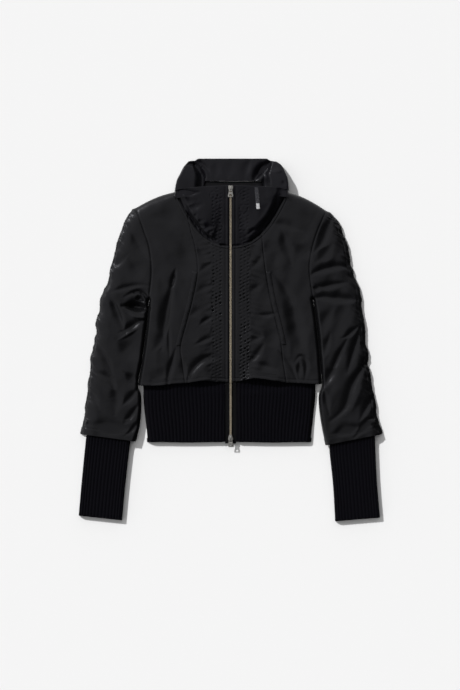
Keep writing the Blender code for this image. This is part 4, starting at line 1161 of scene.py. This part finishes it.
def collar_z(x, y, side):
    """Height of the outer face of the collar's front."""
    foot = collar_foot(x, side)
    reach = np.maximum(lip_y(x, side) - foot, 4)
    lean = neck_lean(x, side)
    from_seam = (y - foot) * lean
    slope = mix(reach, COLLAR_SLOPE[side], smooth((np.abs(x) - PLACKET) / FOOT_BLEND))
    rise = smooth(from_seam / np.minimum(slope, reach * lean * 0.95))
    start = np.maximum(face_z(x, foot, side, fine=False), COLLAR_FOOT_Z)
    top = creases(x, y, COLLAR_CREASES) + 0.7 * rumple(x, y, 34, 11) + LIP_Z
    height = mix(zip_z(y), mix(start, top, rise), smooth((np.abs(x) - PLACKET) / BLEND))
    crumple = CRUMPLE_DEPTH * smooth((-x - 26) / 16) * smooth((x + 104) / 26)
    crumple = crumple * (1 + 0.45 * rumple(x, y, 10, 19))
    height = height + valley(from_seam - 5.2 - 1.4 * rumple(x, y, 17, 23), crumple, 3.4)
    deep = 2.6 + 2.2 * rumple(x, y, 13, 17)
    return height + valley(from_seam - 0.8, deep, 2.3) * smooth((reach - 3) / 6)


# Round smocked motifs that run up the collar's band: x, y and how tight each is
RINGS = ((-35, 305, 0.9), (-30, 283, 0.5), (-28, 262, 0.7), (-26, 239, 0.8),
         (26, 239, 0.9), (27, 258, 0.5), (28, 277, 0.8), (23, 304, 0.6))


def rings(x, y):
    """Each motif is a low ring inside a furrow that is pinched at six places."""
    height = np.zeros(np.shape(x))
    for centre_x, centre_y, tight in RINGS:
        r = np.hypot(x - centre_x, y - centre_y)
        pinch = 0.65 + 0.35 * np.cos(6 * np.arctan2(y - centre_y, x - centre_x))
        height += tight * (0.25 * bell(r - 5, 2.6) + valley(r - 8.6, 0.7, 1.1) * pinch)
    return height


def collar_front(side):
    end = NECK_HALF[side] - 0.5
    u, v = np.meshgrid(even(56), crowded(60, 0.75))
    x = SIGN[side] * mix(BAND_EDGE, end, u)
    foot = collar_foot(x, side)
    y = mix(foot, np.maximum(lip_y(x, side), foot + 2), v)
    z = collar_z(x, y, side) + smocking(x, y, side, 0.6)
    return turned_rows(x, y, z, LIP_TURN, at_start=False)


def collar_band(side):
    x, v = band_places(side, 110)
    foot = collar_foot(x, side)
    y = mix(foot, lip_y(x, side), v)
    pinched = smocking(x, y, side, 0.55) + rings(x, y) * smooth((y - foot) / 10)
    z = collar_z(x, y, side) + pinched * smooth((lip_y(x, side) - y) / 8) + zip_fold(x)
    return turned_rows(x, y, z, LIP_TURN, at_start=False)


for side in SIDES:
    cloth("satin_collar_front_" + side, *collar_front(side), COLLAR_WALL, "collar_satin", "collar_front_" + side)
    cloth("satin_collar_band_" + side, *collar_band(side), COLLAR_WALL, "collar_satin", "collar_band_" + side,
          held="gathered", ease=(1.2, 1))

# %% [markdown]
# ## Inside of the collar
# Seen through the mouth, the collar's back lies flat between two turned sides. Each side falls from the rim, then
# drops into a groove, and the flat middle swells a little before it settles.
# %% Collar back
# From the front to the back: right rim x, y, z, right groove x, y, left rim x, y, z, left groove x, y, middle y
COLLAR_BACK_SECTIONS = (
    (-118, 315.5, 27, -62, 317, 123, 317, 28, 74, 318, 338),
    (-113.5, 338, 25, -63, 338, 121, 341, 26, 74.5, 336, 350),
    (-106.5, 353, 20, -67, 354, 115, 357, 22, 72, 351, 363),
    (-99, 368, 14, -74, 367, 108, 371, 15, 80, 364, 375),
    (-88, 381, 8, -78, 382, 97, 380, 8, 86, 382, 386.5),
)
# The turned sides start at this height. A rim drops by this much beside its upper face.
SHELF_Z = 1.8
RIM_DROP = 1.6
INSIDE_CREASES = (
    (7, -10, (-100, 372), (-82, 374), (-68, 366), (-60, 350), (-59, 334), (-60, 318)),
    (6, -6, (-84, 384), (-64, 376), (-50, 364), (-44, 352)),
    (4, 2, (-78, 372), (-62, 362), (-54, 350)),
    (9, -2, (-34, 384), (-30, 364), (-36, 340)),
    (9, -12, (94, 384), (80, 373), (66, 360), (54, 345), (50, 330)),
    (5, -3.4, (70, 350), (72, 334), (72, 316)),
    (5, 1.8, (84, 362), (98, 357), (116, 362)),
    (9, -2.6, (44, 386), (34, 366), (30, 342)),
    (11, -1.8, (4, 386), (-2, 364), (-6, 340)),
    (5, -2, (110, 340), (120, 324)),
)


def collar_back():
    """The turned sides at u under 0.1 and over 0.9, their upper faces, and the middle between the grooves."""
    u, v = np.meshgrid(stretches((6, 0, 0.1), (26, 0.1, 0.3), (84, 0.3, 0.7), (26, 0.7, 0.9), (6, 0.9, 1)),
                       even(80))
    section = spline(COLLAR_BACK_SECTIONS, v * (len(COLLAR_BACK_SECTIONS) - 1))
    right, left, middle_y = section[:5], section[5:10], section[10]
    s = np.clip((u - 0.3) / 0.4, 0, 1)
    x = mix(right[3], left[3], s)
    y = mix(mix(right[4], left[4], s), middle_y, smooth(np.minimum(s, 1 - s) / 0.06))
    middle_z = mix(13, 6, v ** 1.5)
    z = middle_z
    for sign, place, (rim_x, rim_y, rim_z, groove_x, groove_y) in ((-1, u, right), (1, 1 - u, left)):
        facet = (place >= 0.1) & (place < 0.3)
        t = np.clip((place - 0.1) / 0.2, 0, 1)
        fall = 0.12 * t + 0.88 * smooth((t - 0.7) / 0.3)
        x = np.where(facet, mix(rim_x, groove_x, t), x)
        y = np.where(facet, mix(rim_y, groove_y, t), y)
        z = np.where(facet, mix(rim_z, np.minimum(middle_z, rim_z), fall) + valley(t, RIM_DROP, 0.05), z)
        outer = place < 0.1
        t = np.clip(place / 0.1, 0, 1)
        x = np.where(outer, rim_x + sign * (1 - t + 1.2 * np.sin(np.pi * t)), x)
        y = np.where(outer, rim_y, y)
        z = np.where(outer, mix(SHELF_Z, rim_z - RIM_DROP, t), z)
    inside = smooth((u - 0.1) / 0.04) * smooth((0.9 - u) / 0.04)
    z = z + (creases(x, y, INSIDE_CREASES) + 0.5 * rumple(x, y * 0.35, 16, 9)) * inside
    return x, y, np.maximum(z - 1.2 * np.exp(-(1 - v) / 0.02), 1.3)


cloth("satin_collar_back", *collar_back(), COLLAR_WALL, "collar_satin", "collar_back")

# %% Neck facing
FACING_X = (-65, 77)
FACING_Y = (262, 337.4)
FACING_WALL = 1
u, v = np.meshgrid(even(40), even(28))
x = mix(*FACING_X, u)
y = mix(*FACING_Y, v) + 1.5 * (2 * u - 1) ** 2 * v
z = 3.2 + 0.35 * rumple(x, y, 24, 6) + valley(1 - v, 0.5, 0.03)
z = mix(z, 2.1, smooth((np.abs(x - 6) - 54) / 8))
cloth("satin_neck_facing", x, y, z, FACING_WALL, "collar_satin", "neck_facing")

# %% [markdown]
# ## Rib knit
# The knit is thick and soft. Its ribs are rounded columns of stitches with deep furrows between them, so they are
# modelled, and only the small stitches are left to the finish. Each cuff is one tube.
# %% Rib hem
KNIT_WALL = 2
KNIT_LOFT = 11.4
RIB_PITCH_HEM = 7.6
RIB_PITCH_CUFF = 6.3
# Columns of the grid to a rib
RIB_COLUMNS = 8
# Fronts of the rib hem, from its folded end up: y, right edge x, left edge x
HEM_RIB_SECTIONS = ((-219, -177, 171), (-162, -182, 176), (-107, -186.5, 181), (-72, -185.5, 180))
HEM_RIB_ZIP_EDGE = 12.2
HEM_RIB_TURN = ((-0.6, 0.8), (-0.6, 2), (1, 3.2), (8, 3.6))


def rib_profile(phase):
    """A rounded rib over a narrow furrow, from 0 to 1."""
    wave = 0.5 + 0.5 * np.cos(2 * np.pi * phase)
    return wave ** 0.55


def hem_rib(side):
    column = 1 if side == "right" else 2
    last = len(HEM_RIB_SECTIONS) - 1
    width = abs(HEM_RIB_SECTIONS[1][column]) - HEM_RIB_ZIP_EDGE
    ribs = round(width / RIB_PITCH_HEM)
    u, v = np.meshgrid(even(ribs * RIB_COLUMNS), stretches((5, 0, 0.05), (44, 0.05, 1)))
    section = spline(HEM_RIB_SECTIONS, v * last)
    y = section[0]
    edge = np.abs(section[column])
    x = mix(HEM_RIB_ZIP_EDGE, edge, u)
    y = y + 2.4 * np.exp(-(x - HEM_RIB_ZIP_EDGE) / 3) * np.exp(-v / 0.03) + 0.5 * np.sin(x / 19) * (1 - v)
    low = KNIT_WALL + 0.9
    top = KNIT_LOFT - 1.4 * np.exp(-v / 0.012) + 0.5 * rumple(x, y, 46, 2)
    top = top - (0.6 + 0.9 * hem_wave(SIGN[side] * x, 2)) * smooth((y + 116) / 16)
    bend = 0.12 * np.sin(y / 23 + x / 31)
    height = low + (top - low) * roll(edge - x, 14) * (0.55 + 0.45 * roll(x - HEM_RIB_ZIP_EDGE + 1, 5))
    z = height + 1.5 * rib_profile(u * ribs + bend) * smooth((edge - x) / 3)
    x, y, z = turned_rows(SIGN[side] * x, y, z, HEM_RIB_TURN)
    return x, y, np.maximum(z, 0.1)


both_sides("knit_hem", "hem_rib_front", hem_rib, KNIT_WALL, "black_rib_knit", rests_on=("hem_rib_back",))

# %% Back of the rib hem
HEM_BACK_TOP_Y = -97
HEM_BACK_RIBS = 46
HEM_BACK_WALL = 1.8
hem_end, hem_top = HEM_RIB_SECTIONS[0][0], HEM_RIB_SECTIONS[-1][0]
u, v = np.meshgrid(even(180), even(16))
y = mix(hem_end, HEM_BACK_TOP_Y, v)
section = spline(HEM_RIB_SECTIONS, 3 * (y - hem_end) / (hem_top - hem_end))
x = mix(section[1], section[2], u)
z = HEM_BACK_WALL + 0.8 * rib_profile(u * HEM_BACK_RIBS)
cloth("knit_hem_back", x, y, z, HEM_BACK_WALL, "black_rib_knit", "hem_rib_back", rests_on=())

# %% Cuffs
RIB_HEIGHT_CUFF = 1.3


def cuff(side):
    """One tube: columns go over the top from the outer edge to the inner one, and back underneath."""
    sections = CUFF_SECTIONS[side]
    ribs = round(math.dist(sections[1][:2], sections[1][2:4]) / RIB_PITCH_CUFF)
    rows = np.concatenate([stretches((8, 0, 2), (60, 2, 3.97)), [3.985, 3.995, 4]])
    outer_x, outer_y, inner_x, inner_y, floor = spline(sections, rows)[:, :, None]
    floor = np.maximum(floor, 0)
    wide = np.hypot(inner_x - outer_x, inner_y - outer_y)
    half = CUFF_THICKNESS / 2
    over = crowded(ribs * RIB_COLUMNS, 0.65)
    under = 1 - crowded(40, 0)[1:-1]
    end = 1 - 0.5 * np.exp(-(4 - rows) / 0.012)[:, None]
    edge = np.minimum(over, 1 - over) * wide
    ridge = RIB_HEIGHT_CUFF * rib_profile(even(ribs * RIB_COLUMNS) * ribs + 0.5) * np.clip(0.3 + edge / 3, 0.3, 1)
    top_z = floor + half + half * roll(edge + ROLL_START, half) * end + ridge
    z = np.concatenate([top_z, np.repeat(floor, len(under), axis=1)], axis=1)
    share = np.concatenate([over, under])
    way = -1 if side == "right" else 1
    return [grid[:, ::way] for grid in (mix(outer_x, inner_x, share), mix(outer_y, inner_y, share), z)]


both_sides("knit_cuff", "cuff", cuff, KNIT_WALL, "black_rib_knit", wrap=True, rests_on=())

# %% [markdown]
# ## Zip
# A metal zip is two woven tapes with a row of teeth clamped on each, and the teeth of the two sides sit between
# each other. One tooth is modelled and copied along the zip's line, with its own place in the mesh.
# %% Tapes
TAPE_X = (1.2, 11.7)
TAPE_WALL = 0.7
u, v = np.meshgrid(even(10), even(170))
for side in SIDES:
    y = mix(ZIP_LINE[0][0], ZIP_LINE[-1][0], v)
    x = SIGN[side] * mix(*TAPE_X, u)
    z = zip_z(y) - 2.6 + 0.25 * bell(u - 0.9, 0.05)
    cloth("woven_zip_tape_" + side, x, y, z, TAPE_WALL, "zip_tape", "zip_tape_" + side,
          rests_on=("smocked_band_" + side,))

# %% Teeth
SLIDER_Y = {"top": 320, "bottom": -209}
# From one tooth to the next on the same side, and a tooth's size across the zip, along it and up
TOOTH_PITCH = 1.9
TOOTH_SIZE = (2.7, 1.25, 2)
TOOTH_BEVEL = 0.32
MIDDLE = (0, 0, 0)


def block(name, centre, size, cuts=0, bevelled=0):
    """A cube drawn out to its size in mm, then cut into a grid, or bevelled along every edge."""
    bpy.ops.object.select_all(action="DESELECT")
    bpy.ops.mesh.primitive_cube_add(size=1, location=MIDDLE)
    item = bpy.context.object
    item.name = name
    item.data.transform(Matrix.Translation(Vector(centre) * MM) @ Matrix.Diagonal((*(Vector(size) * MM), 1)))
    if cuts or bevelled:
        bpy.ops.object.mode_set(mode="EDIT")
        bpy.ops.mesh.select_all(action="SELECT")
        if cuts:
            bpy.ops.mesh.subdivide(number_cuts=cuts)
        if bevelled:
            bpy.ops.mesh.bevel(offset=bevelled * MM, segments=1, affect="EDGES")
        bpy.ops.object.mode_set(mode="OBJECT")
    return item


def joined_copies(name, item, places, finish):
    """Copies of a shape, as one mesh. A place is a point in mm and the way the copy's y axis runs."""
    source = item.data
    base = np.array([v.co for v in source.vertices])
    polygons = [tuple(p.vertices) for p in source.polygons]
    points = []
    faces = []
    for k, (point, way) in enumerate(places):
        along = Vector(way).normalized()
        side_way = along.cross(Vector((0, 0, 1))).normalized()
        up = side_way.cross(along)
        turned = base @ np.array([side_way, along, up])
        points.append(turned + np.array(point) * MM)
        faces += [tuple(i + k * len(base) for i in polygon) for polygon in polygons]
    mesh = bpy.data.meshes.new(name)
    mesh.from_pydata(np.concatenate(points).tolist(), [], faces)
    made = placed(name, mesh)
    bpy.data.objects.remove(item)
    mesh.materials.append(bpy.data.materials[finish])
    activate(made)
    bpy.ops.object.shade_smooth_by_angle(angle=math.radians(35))
    return made


places = []
count = 2 * int((SLIDER_Y["top"] - SLIDER_Y["bottom"] - 2) / TOOTH_PITCH)
for i in range(count):
    tooth_y = SLIDER_Y["bottom"] + 2 + i * TOOTH_PITCH / 2
    slope = float(zip_z(tooth_y + 2) - zip_z(tooth_y - 2)) / 4
    places.append(((-1 if i % 2 else 1, tooth_y, float(zip_z(tooth_y)) - 0.5), (0, 1, slope)))
tooth = block("tooth", MIDDLE, TOOTH_SIZE, bevelled=TOOTH_BEVEL)
chain = joined_copies("zip_teeth", tooth, places, "aged_brass")
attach(chain, "jacket")
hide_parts("zip_chain")
print("teeth", len(places))

# %% [markdown]
# ## Sliders and pull tabs
# A cast slider is two plates with a neck between them and a bridge on top. The pull tab's bar turns under the
# bridge. Each is started from a cube at its own size, which is cut into a grid, drawn in or out by its selected
# points, and bevelled all over, because cast metal has no sharp edges.
# %% Metal helpers
# Height of the pull tab's axis, and how far the slider's plate lies under it
HINGE_Z = {"top": 38.1, "bottom": 15.22}
HINGE_GAP = 1.1


def rod(centre, sides, radius, long, shaped):
    """A round bar in mm, stretched or turned by a matrix before it is moved to its place."""
    bpy.ops.object.select_all(action="DESELECT")
    bpy.ops.mesh.primitive_cylinder_add(vertices=sides, radius=radius * MM, depth=long * MM)
    item = bpy.context.object
    item.data.transform(Matrix.Translation(Vector(centre) * MM) @ shaped)
    return item


def join(item, *parts):
    """Joins the parts into the item."""
    activate(item)
    for part in parts:
        part.select_set(True)
    bpy.ops.object.join()


def draw(item, test, scale=None, centre=MIDDLE, move=None):
    """Scales or moves the points that pass a test. Tests, centres and moves are in mm."""
    activate(item)
    bpy.ops.object.mode_set(mode="EDIT")
    bpy.ops.mesh.select_mode(type="VERT")
    bpy.ops.mesh.select_all(action="DESELECT")
    bpy.ops.object.mode_set(mode="OBJECT")
    for vertex in item.data.vertices:
        vertex.select = test(vertex.co / MM)
    bpy.ops.object.mode_set(mode="EDIT")
    if scale:
        bpy.ops.transform.resize(value=scale, center_override=Vector(centre) * MM)
    if move:
        bpy.ops.transform.translate(value=Vector(move) * MM)
    bpy.ops.object.mode_set(mode="OBJECT")


def cut_out(item, tool):
    activate(item)
    modified(item, "BOOLEAN", operation="DIFFERENCE", object=tool)
    bpy.data.objects.remove(tool)


def soften(item, width, segments=1):
    activate(item)
    modified(item, "BEVEL", width=width * MM, segments=segments, limit_method="ANGLE",
             angle_limit=math.radians(40))
    bpy.ops.object.shade_smooth_by_angle(angle=math.radians(35))


def metal_piece(item, body, node):
    item.data.materials.clear()
    item.data.materials.append(bpy.data.materials["nickel"])
    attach(item, body)
    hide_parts(node)
    print(item.name, "faces", len(item.data.polygons))


# %% Sliders
def slider(end):
    """A waisted upper plate with a notched wide end, a bridge on two legs, a lower plate and the neck."""
    y = SLIDER_Y[end]
    up = 1 if end == "top" else -1
    plate_top = HINGE_Z[end] - HINGE_GAP
    upper = block("slider_body_" + end, (0, y, plate_top - 0.7), (10, 12, 1.4), cuts=7)
    for reach, share in ((1, 0.93), (-1.5, 0.84), (-3.5, 0.90)):
        draw(upper, lambda p: up * (p.y - y) < reach, (share, 1, 1), (0, y, plate_top))
    draw(upper, lambda p: up * (p.y - y) > 5.5 and abs(p.x) < 1, move=(0, -1.9 * up, 0))
    draw(upper, lambda p: up * (p.y - y) > 5.5 and abs(p.x) > 4.2, move=(0, -1.5 * up, 0))
    draw(upper, lambda p: abs(p.x) > 3.3 and p.z > plate_top - 0.1, move=(0, 0, -0.45))
    soften(upper, 0.25)
    bridge = block("bridge", (0, y, plate_top + 2.8), (2.8, 8.4, 1.2), cuts=3)
    for way in (-1, 1):
        draw(bridge, lambda p: way * (p.y - y) > 4, move=(0, 0, -0.5))
        leg = block("leg", (0, y + way * 3.6, plate_top + 1.2), (2.6, 1.2, 2.8))
        soften(leg, 0.2)
        join(bridge, leg)
    draw(bridge, lambda p: abs(p.y - y) < 1.3 and p.z > plate_top + 3, (1.25, 1, 1), (0, y, plate_top))
    soften(bridge, 0.25)
    lower = block("lower", (0, y, plate_top - 7.6), (9, 12, 1.4), cuts=3)
    draw(lower, lambda p: up * (p.y - y) < -2, (0.8, 1, 1), (0, y, plate_top))
    soften(lower, 0.4)
    neck = block("neck", (0, y + 4 * up, plate_top - 4.1), (2, 3, 6.6))
    join(upper, bridge, lower, neck)
    metal_piece(upper, "jacket", "slider_" + end)


# %% Pull tabs
def pull_tab(end):
    """A tab that widens to its end, with a slot for the bridge, a gap under it, an oval eye and a bar."""
    y = SLIDER_Y[end]
    z = HINGE_Z[end]
    tab = block("pull_" + end, (0, y - 8.75, z), (7, 18.5, 1.3), cuts=5)
    for below, wider in ((5, 1.06), (8.5, 1.12), (11, 1.12), (14.5, 1.2)):
        draw(tab, lambda p: p.y < y - below, (wider, 1, 1), (0, y, z))
    draw(tab, lambda p: p.y < y - 17, move=(0, -1.2, 0))
    draw(tab, lambda p: p.y > y - 0.5 and abs(p.x) > 3, (0.9, 1, 1), (0, y, z))
    cut_out(tab, block("slot", (0, y - 2.9, z), (3.8, 5, 4)))
    cut_out(tab, block("gap", (0, y - 7.7, z), (5.2, 2.2, 4)))
    cut_out(tab, rod((0, y - 15.2, z), 24, 1, 4, Matrix.Diagonal((3.1, 2.2, 1, 1))))
    soften(tab, 0.3, 2)
    join(tab, rod((0, y, z), 16, 0.8, 6.2, Matrix.Rotation(math.radians(90), 4, "Y")))
    metal_piece(tab, "pull_" + end, "pull_tab_" + end)


for end in SLIDER_Y:
    slider(end)
    pull_tab(end)

# %% [markdown]
# ## Ribbon tab
# A plain folded ribbon is sewn to the collar's left front, with a small pale stitched block near its end. It
# carries no words.
# %% Tab
TAB_Y = (275, 322)
TAB_LEAN = 0.08
RIBBON_WALL = 0.6
BLOCK_WALL = 0.5


def tab_surface(x_span, y_span, above, rows):
    """A strip that lies this far above the collar, a little fuller in its middle."""
    u, v = np.meshgrid(even(8), even(rows))
    y = mix(*y_span, v)
    x = mix(*x_span, u) + (sum(TAB_Y) / 2 - y) * TAB_LEAN
    return x, y, collar_z(x, y, "left") + above + 0.3 * np.sin(np.pi * u)


cloth("ribbon_tab", *tab_surface((60.5, 52.5), TAB_Y, 1.5, 40), RIBBON_WALL, "tab_ribbon", "collar_tab",
      rests_on=("collar_front_left",))
mark = cloth("pale_tab_block", *tab_surface((60, 53.2), (276.5, 288), 2.3, 12), BLOCK_WALL, "tab_mark")

# %% [markdown]
# ## Topstitching
# Stitches hold the turned hems, the neck seam and the welts. One stitch is modelled, a short thick thread, and
# copied along each line at an even pitch. They are black on black, and show as a fine broken line.
# %% Lines of stitches
STITCH_PITCH = 3.3
# A stitch's size across its line, along it and up, and how far its middle lies above the cloth
STITCH_SIZE = (0.55, 2.5, 0.45)
STITCH_BEVEL = 0.16
STITCH_RISE = 0.12
# From where to where the placket is stitched
PLACKET_SEWN = (-82, 192)


def stitch_places(line):
    """Points at an even pitch along a line, each with the way the line runs."""
    far = walked(np.linalg.norm(np.diff(line, axis=0), axis=1))
    at = np.arange(STITCH_PITCH / 2, far[-1], STITCH_PITCH)
    before, middle, after = [np.stack([np.interp(at + shift, far, column) for column in line.T], -1)
                             for shift in (-0.8, 0, 0.8)]
    return list(zip(middle + (0, 0, STITCH_RISE), after - before))


for side in SIDES:
    neck = np.array(NECK[side])
    turn = np.stack([np.gradient(neck[:, 0]), np.gradient(neck[:, 1])], -1)
    out = np.stack([turn[:, 1], -turn[:, 0]], -1) * SIGN[side] / np.linalg.norm(turn, axis=1)[:, None]
    line = (neck + NECK_STITCH * out)[3:-4]
    SEWN.append(np.column_stack([line, face_z(line[:, 0], line[:, 1], side)]))
    y = even(60, *PLACKET_SEWN)
    x = np.full_like(y, SIGN[side] * PLACKET_STITCH)
    SEWN.append(np.column_stack([x, y, face_z(x, y, side) - 0.5]))
places = [place for line in SEWN for place in stitch_places(line)]
stitch_block = block("stitch", MIDDLE, STITCH_SIZE, bevelled=STITCH_BEVEL)
stitches = joined_copies("topstitching", stitch_block, places, "black_thread")
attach(stitches, "jacket")
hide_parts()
print("stitches", len(places))

# %% [markdown]
# ## Stage, light and camera
# The floor is plain and pale. A small hard lamp stands up and to the left of the picture, so shadows fall to the
# lower right. A low, broader one on the same side is only mirrored, and gives steep folds their glints. The studio
# is bright on the lamps' side and dim on the other, which a gradient over the sky gives: satin shows that
# difference on the slopes of its folds. The camera looks straight down with a long lens.
# %% Floor
FLOOR_COLOUR = (0.80, 0.80, 0.80)
FLOOR_SIZE = 40
# Just under the jacket's lowest points, in metres
FLOOR_Z = -0.0002
bpy.ops.object.select_all(action="DESELECT")
bpy.ops.mesh.primitive_plane_add(size=FLOOR_SIZE, location=(0, 0, FLOOR_Z))
floor = bpy.context.object
floor.name = "studio_floor"
floor.data.materials.append(blank_material("pale_paper", FLOOR_COLOUR, 0.9, specular=0.1)[0])
floor.visible_glossy = False
floor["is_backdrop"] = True
print("floor", FLOOR_SIZE, "m wide")

# %% Lamps and sky
TOWARDS_LIGHT = Vector((*LAMP_WAY, 0)).normalized()
LAMP_AWAY = 3


def sun_light(name, height, power, softness, shade, gloss):
    """A lamp far away. Its height and softness are in degrees. It may shade, be mirrored in gloss, or both."""
    data = bpy.data.lights.new(name, "SUN")
    data.energy = power
    data.angle = math.radians(softness)
    lamp = placed(name, data)
    rise = math.radians(height)
    lamp_from = TOWARDS_LIGHT * math.cos(rise) + Vector((0, 0, math.sin(rise)))
    lamp.rotation_euler = lamp_from.to_track_quat("Z", "Y").to_euler()
    lamp.location = lamp_from * LAMP_AWAY
    lamp.visible_glossy = gloss
    lamp.visible_diffuse = shade


sun_light("key_sun", height=38, power=3.52, softness=2.5, shade=True, gloss=False)
sun_light("glint_sun", height=11, power=1.35, softness=7, shade=False, gloss=True)

# The sky's strength on its dim and its bright side, and where it changes, by how far it faces the lamps
SKY_DIM = 0.02
SKY_BRIGHT = 0.745
SKY_CHANGE = (-0.42, 0.10)
world = bpy.data.worlds.new("studio_surround")
bpy.context.scene.world = world
world.use_nodes = True
sky = world.node_tree
look = sky.nodes.new("ShaderNodeTexCoord")
facing = sky.nodes.new("ShaderNodeVectorMath")
facing.operation = "DOT_PRODUCT"
facing.inputs[1].default_value = TOWARDS_LIGHT
link(sky, look.outputs["Generated"], facing.inputs[0])
bright = ranged(sky, facing.outputs["Value"], SKY_DIM, SKY_BRIGHT, *SKY_CHANGE)
bright.node.interpolation_type = "SMOOTHSTEP"
link(sky, bright, sky.nodes["Background"].inputs["Strength"])
sky.nodes["Background"].inputs["Color"].default_value = (1, 1, 1, 1)
bpy.context.scene.view_settings.view_transform = "Standard"
bpy.context.scene.view_settings.look = "None"
print("sky from", SKY_DIM, "to", SKY_BRIGHT)

# %% Camera
# Its height over the floor and how long a piece of floor it takes in, in metres
CAMERA_HEIGHT = 3.2
PICTURE_LONG = 1.4766
CAMERA_PLACE = (-0.0013, -0.0118)
SENSOR = 36
camera_data = bpy.data.cameras.new("top_camera")
camera_data.sensor_width = SENSOR
camera_data.lens = SENSOR * CAMERA_HEIGHT / PICTURE_LONG
camera = placed("top_camera", camera_data)
camera.location = (*CAMERA_PLACE, CAMERA_HEIGHT)
bpy.context.scene.camera = camera
print("lens, mm", round(camera_data.lens, 1))

# %% Measure and finish
triangles = {}
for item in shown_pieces():
    item.data.calc_loop_triangles()
    triangles[item.name] = len(item.data.loop_triangles)
print("triangles", sum(triangles.values()), "most", max(triangles.items(), key=lambda row: row[1]))
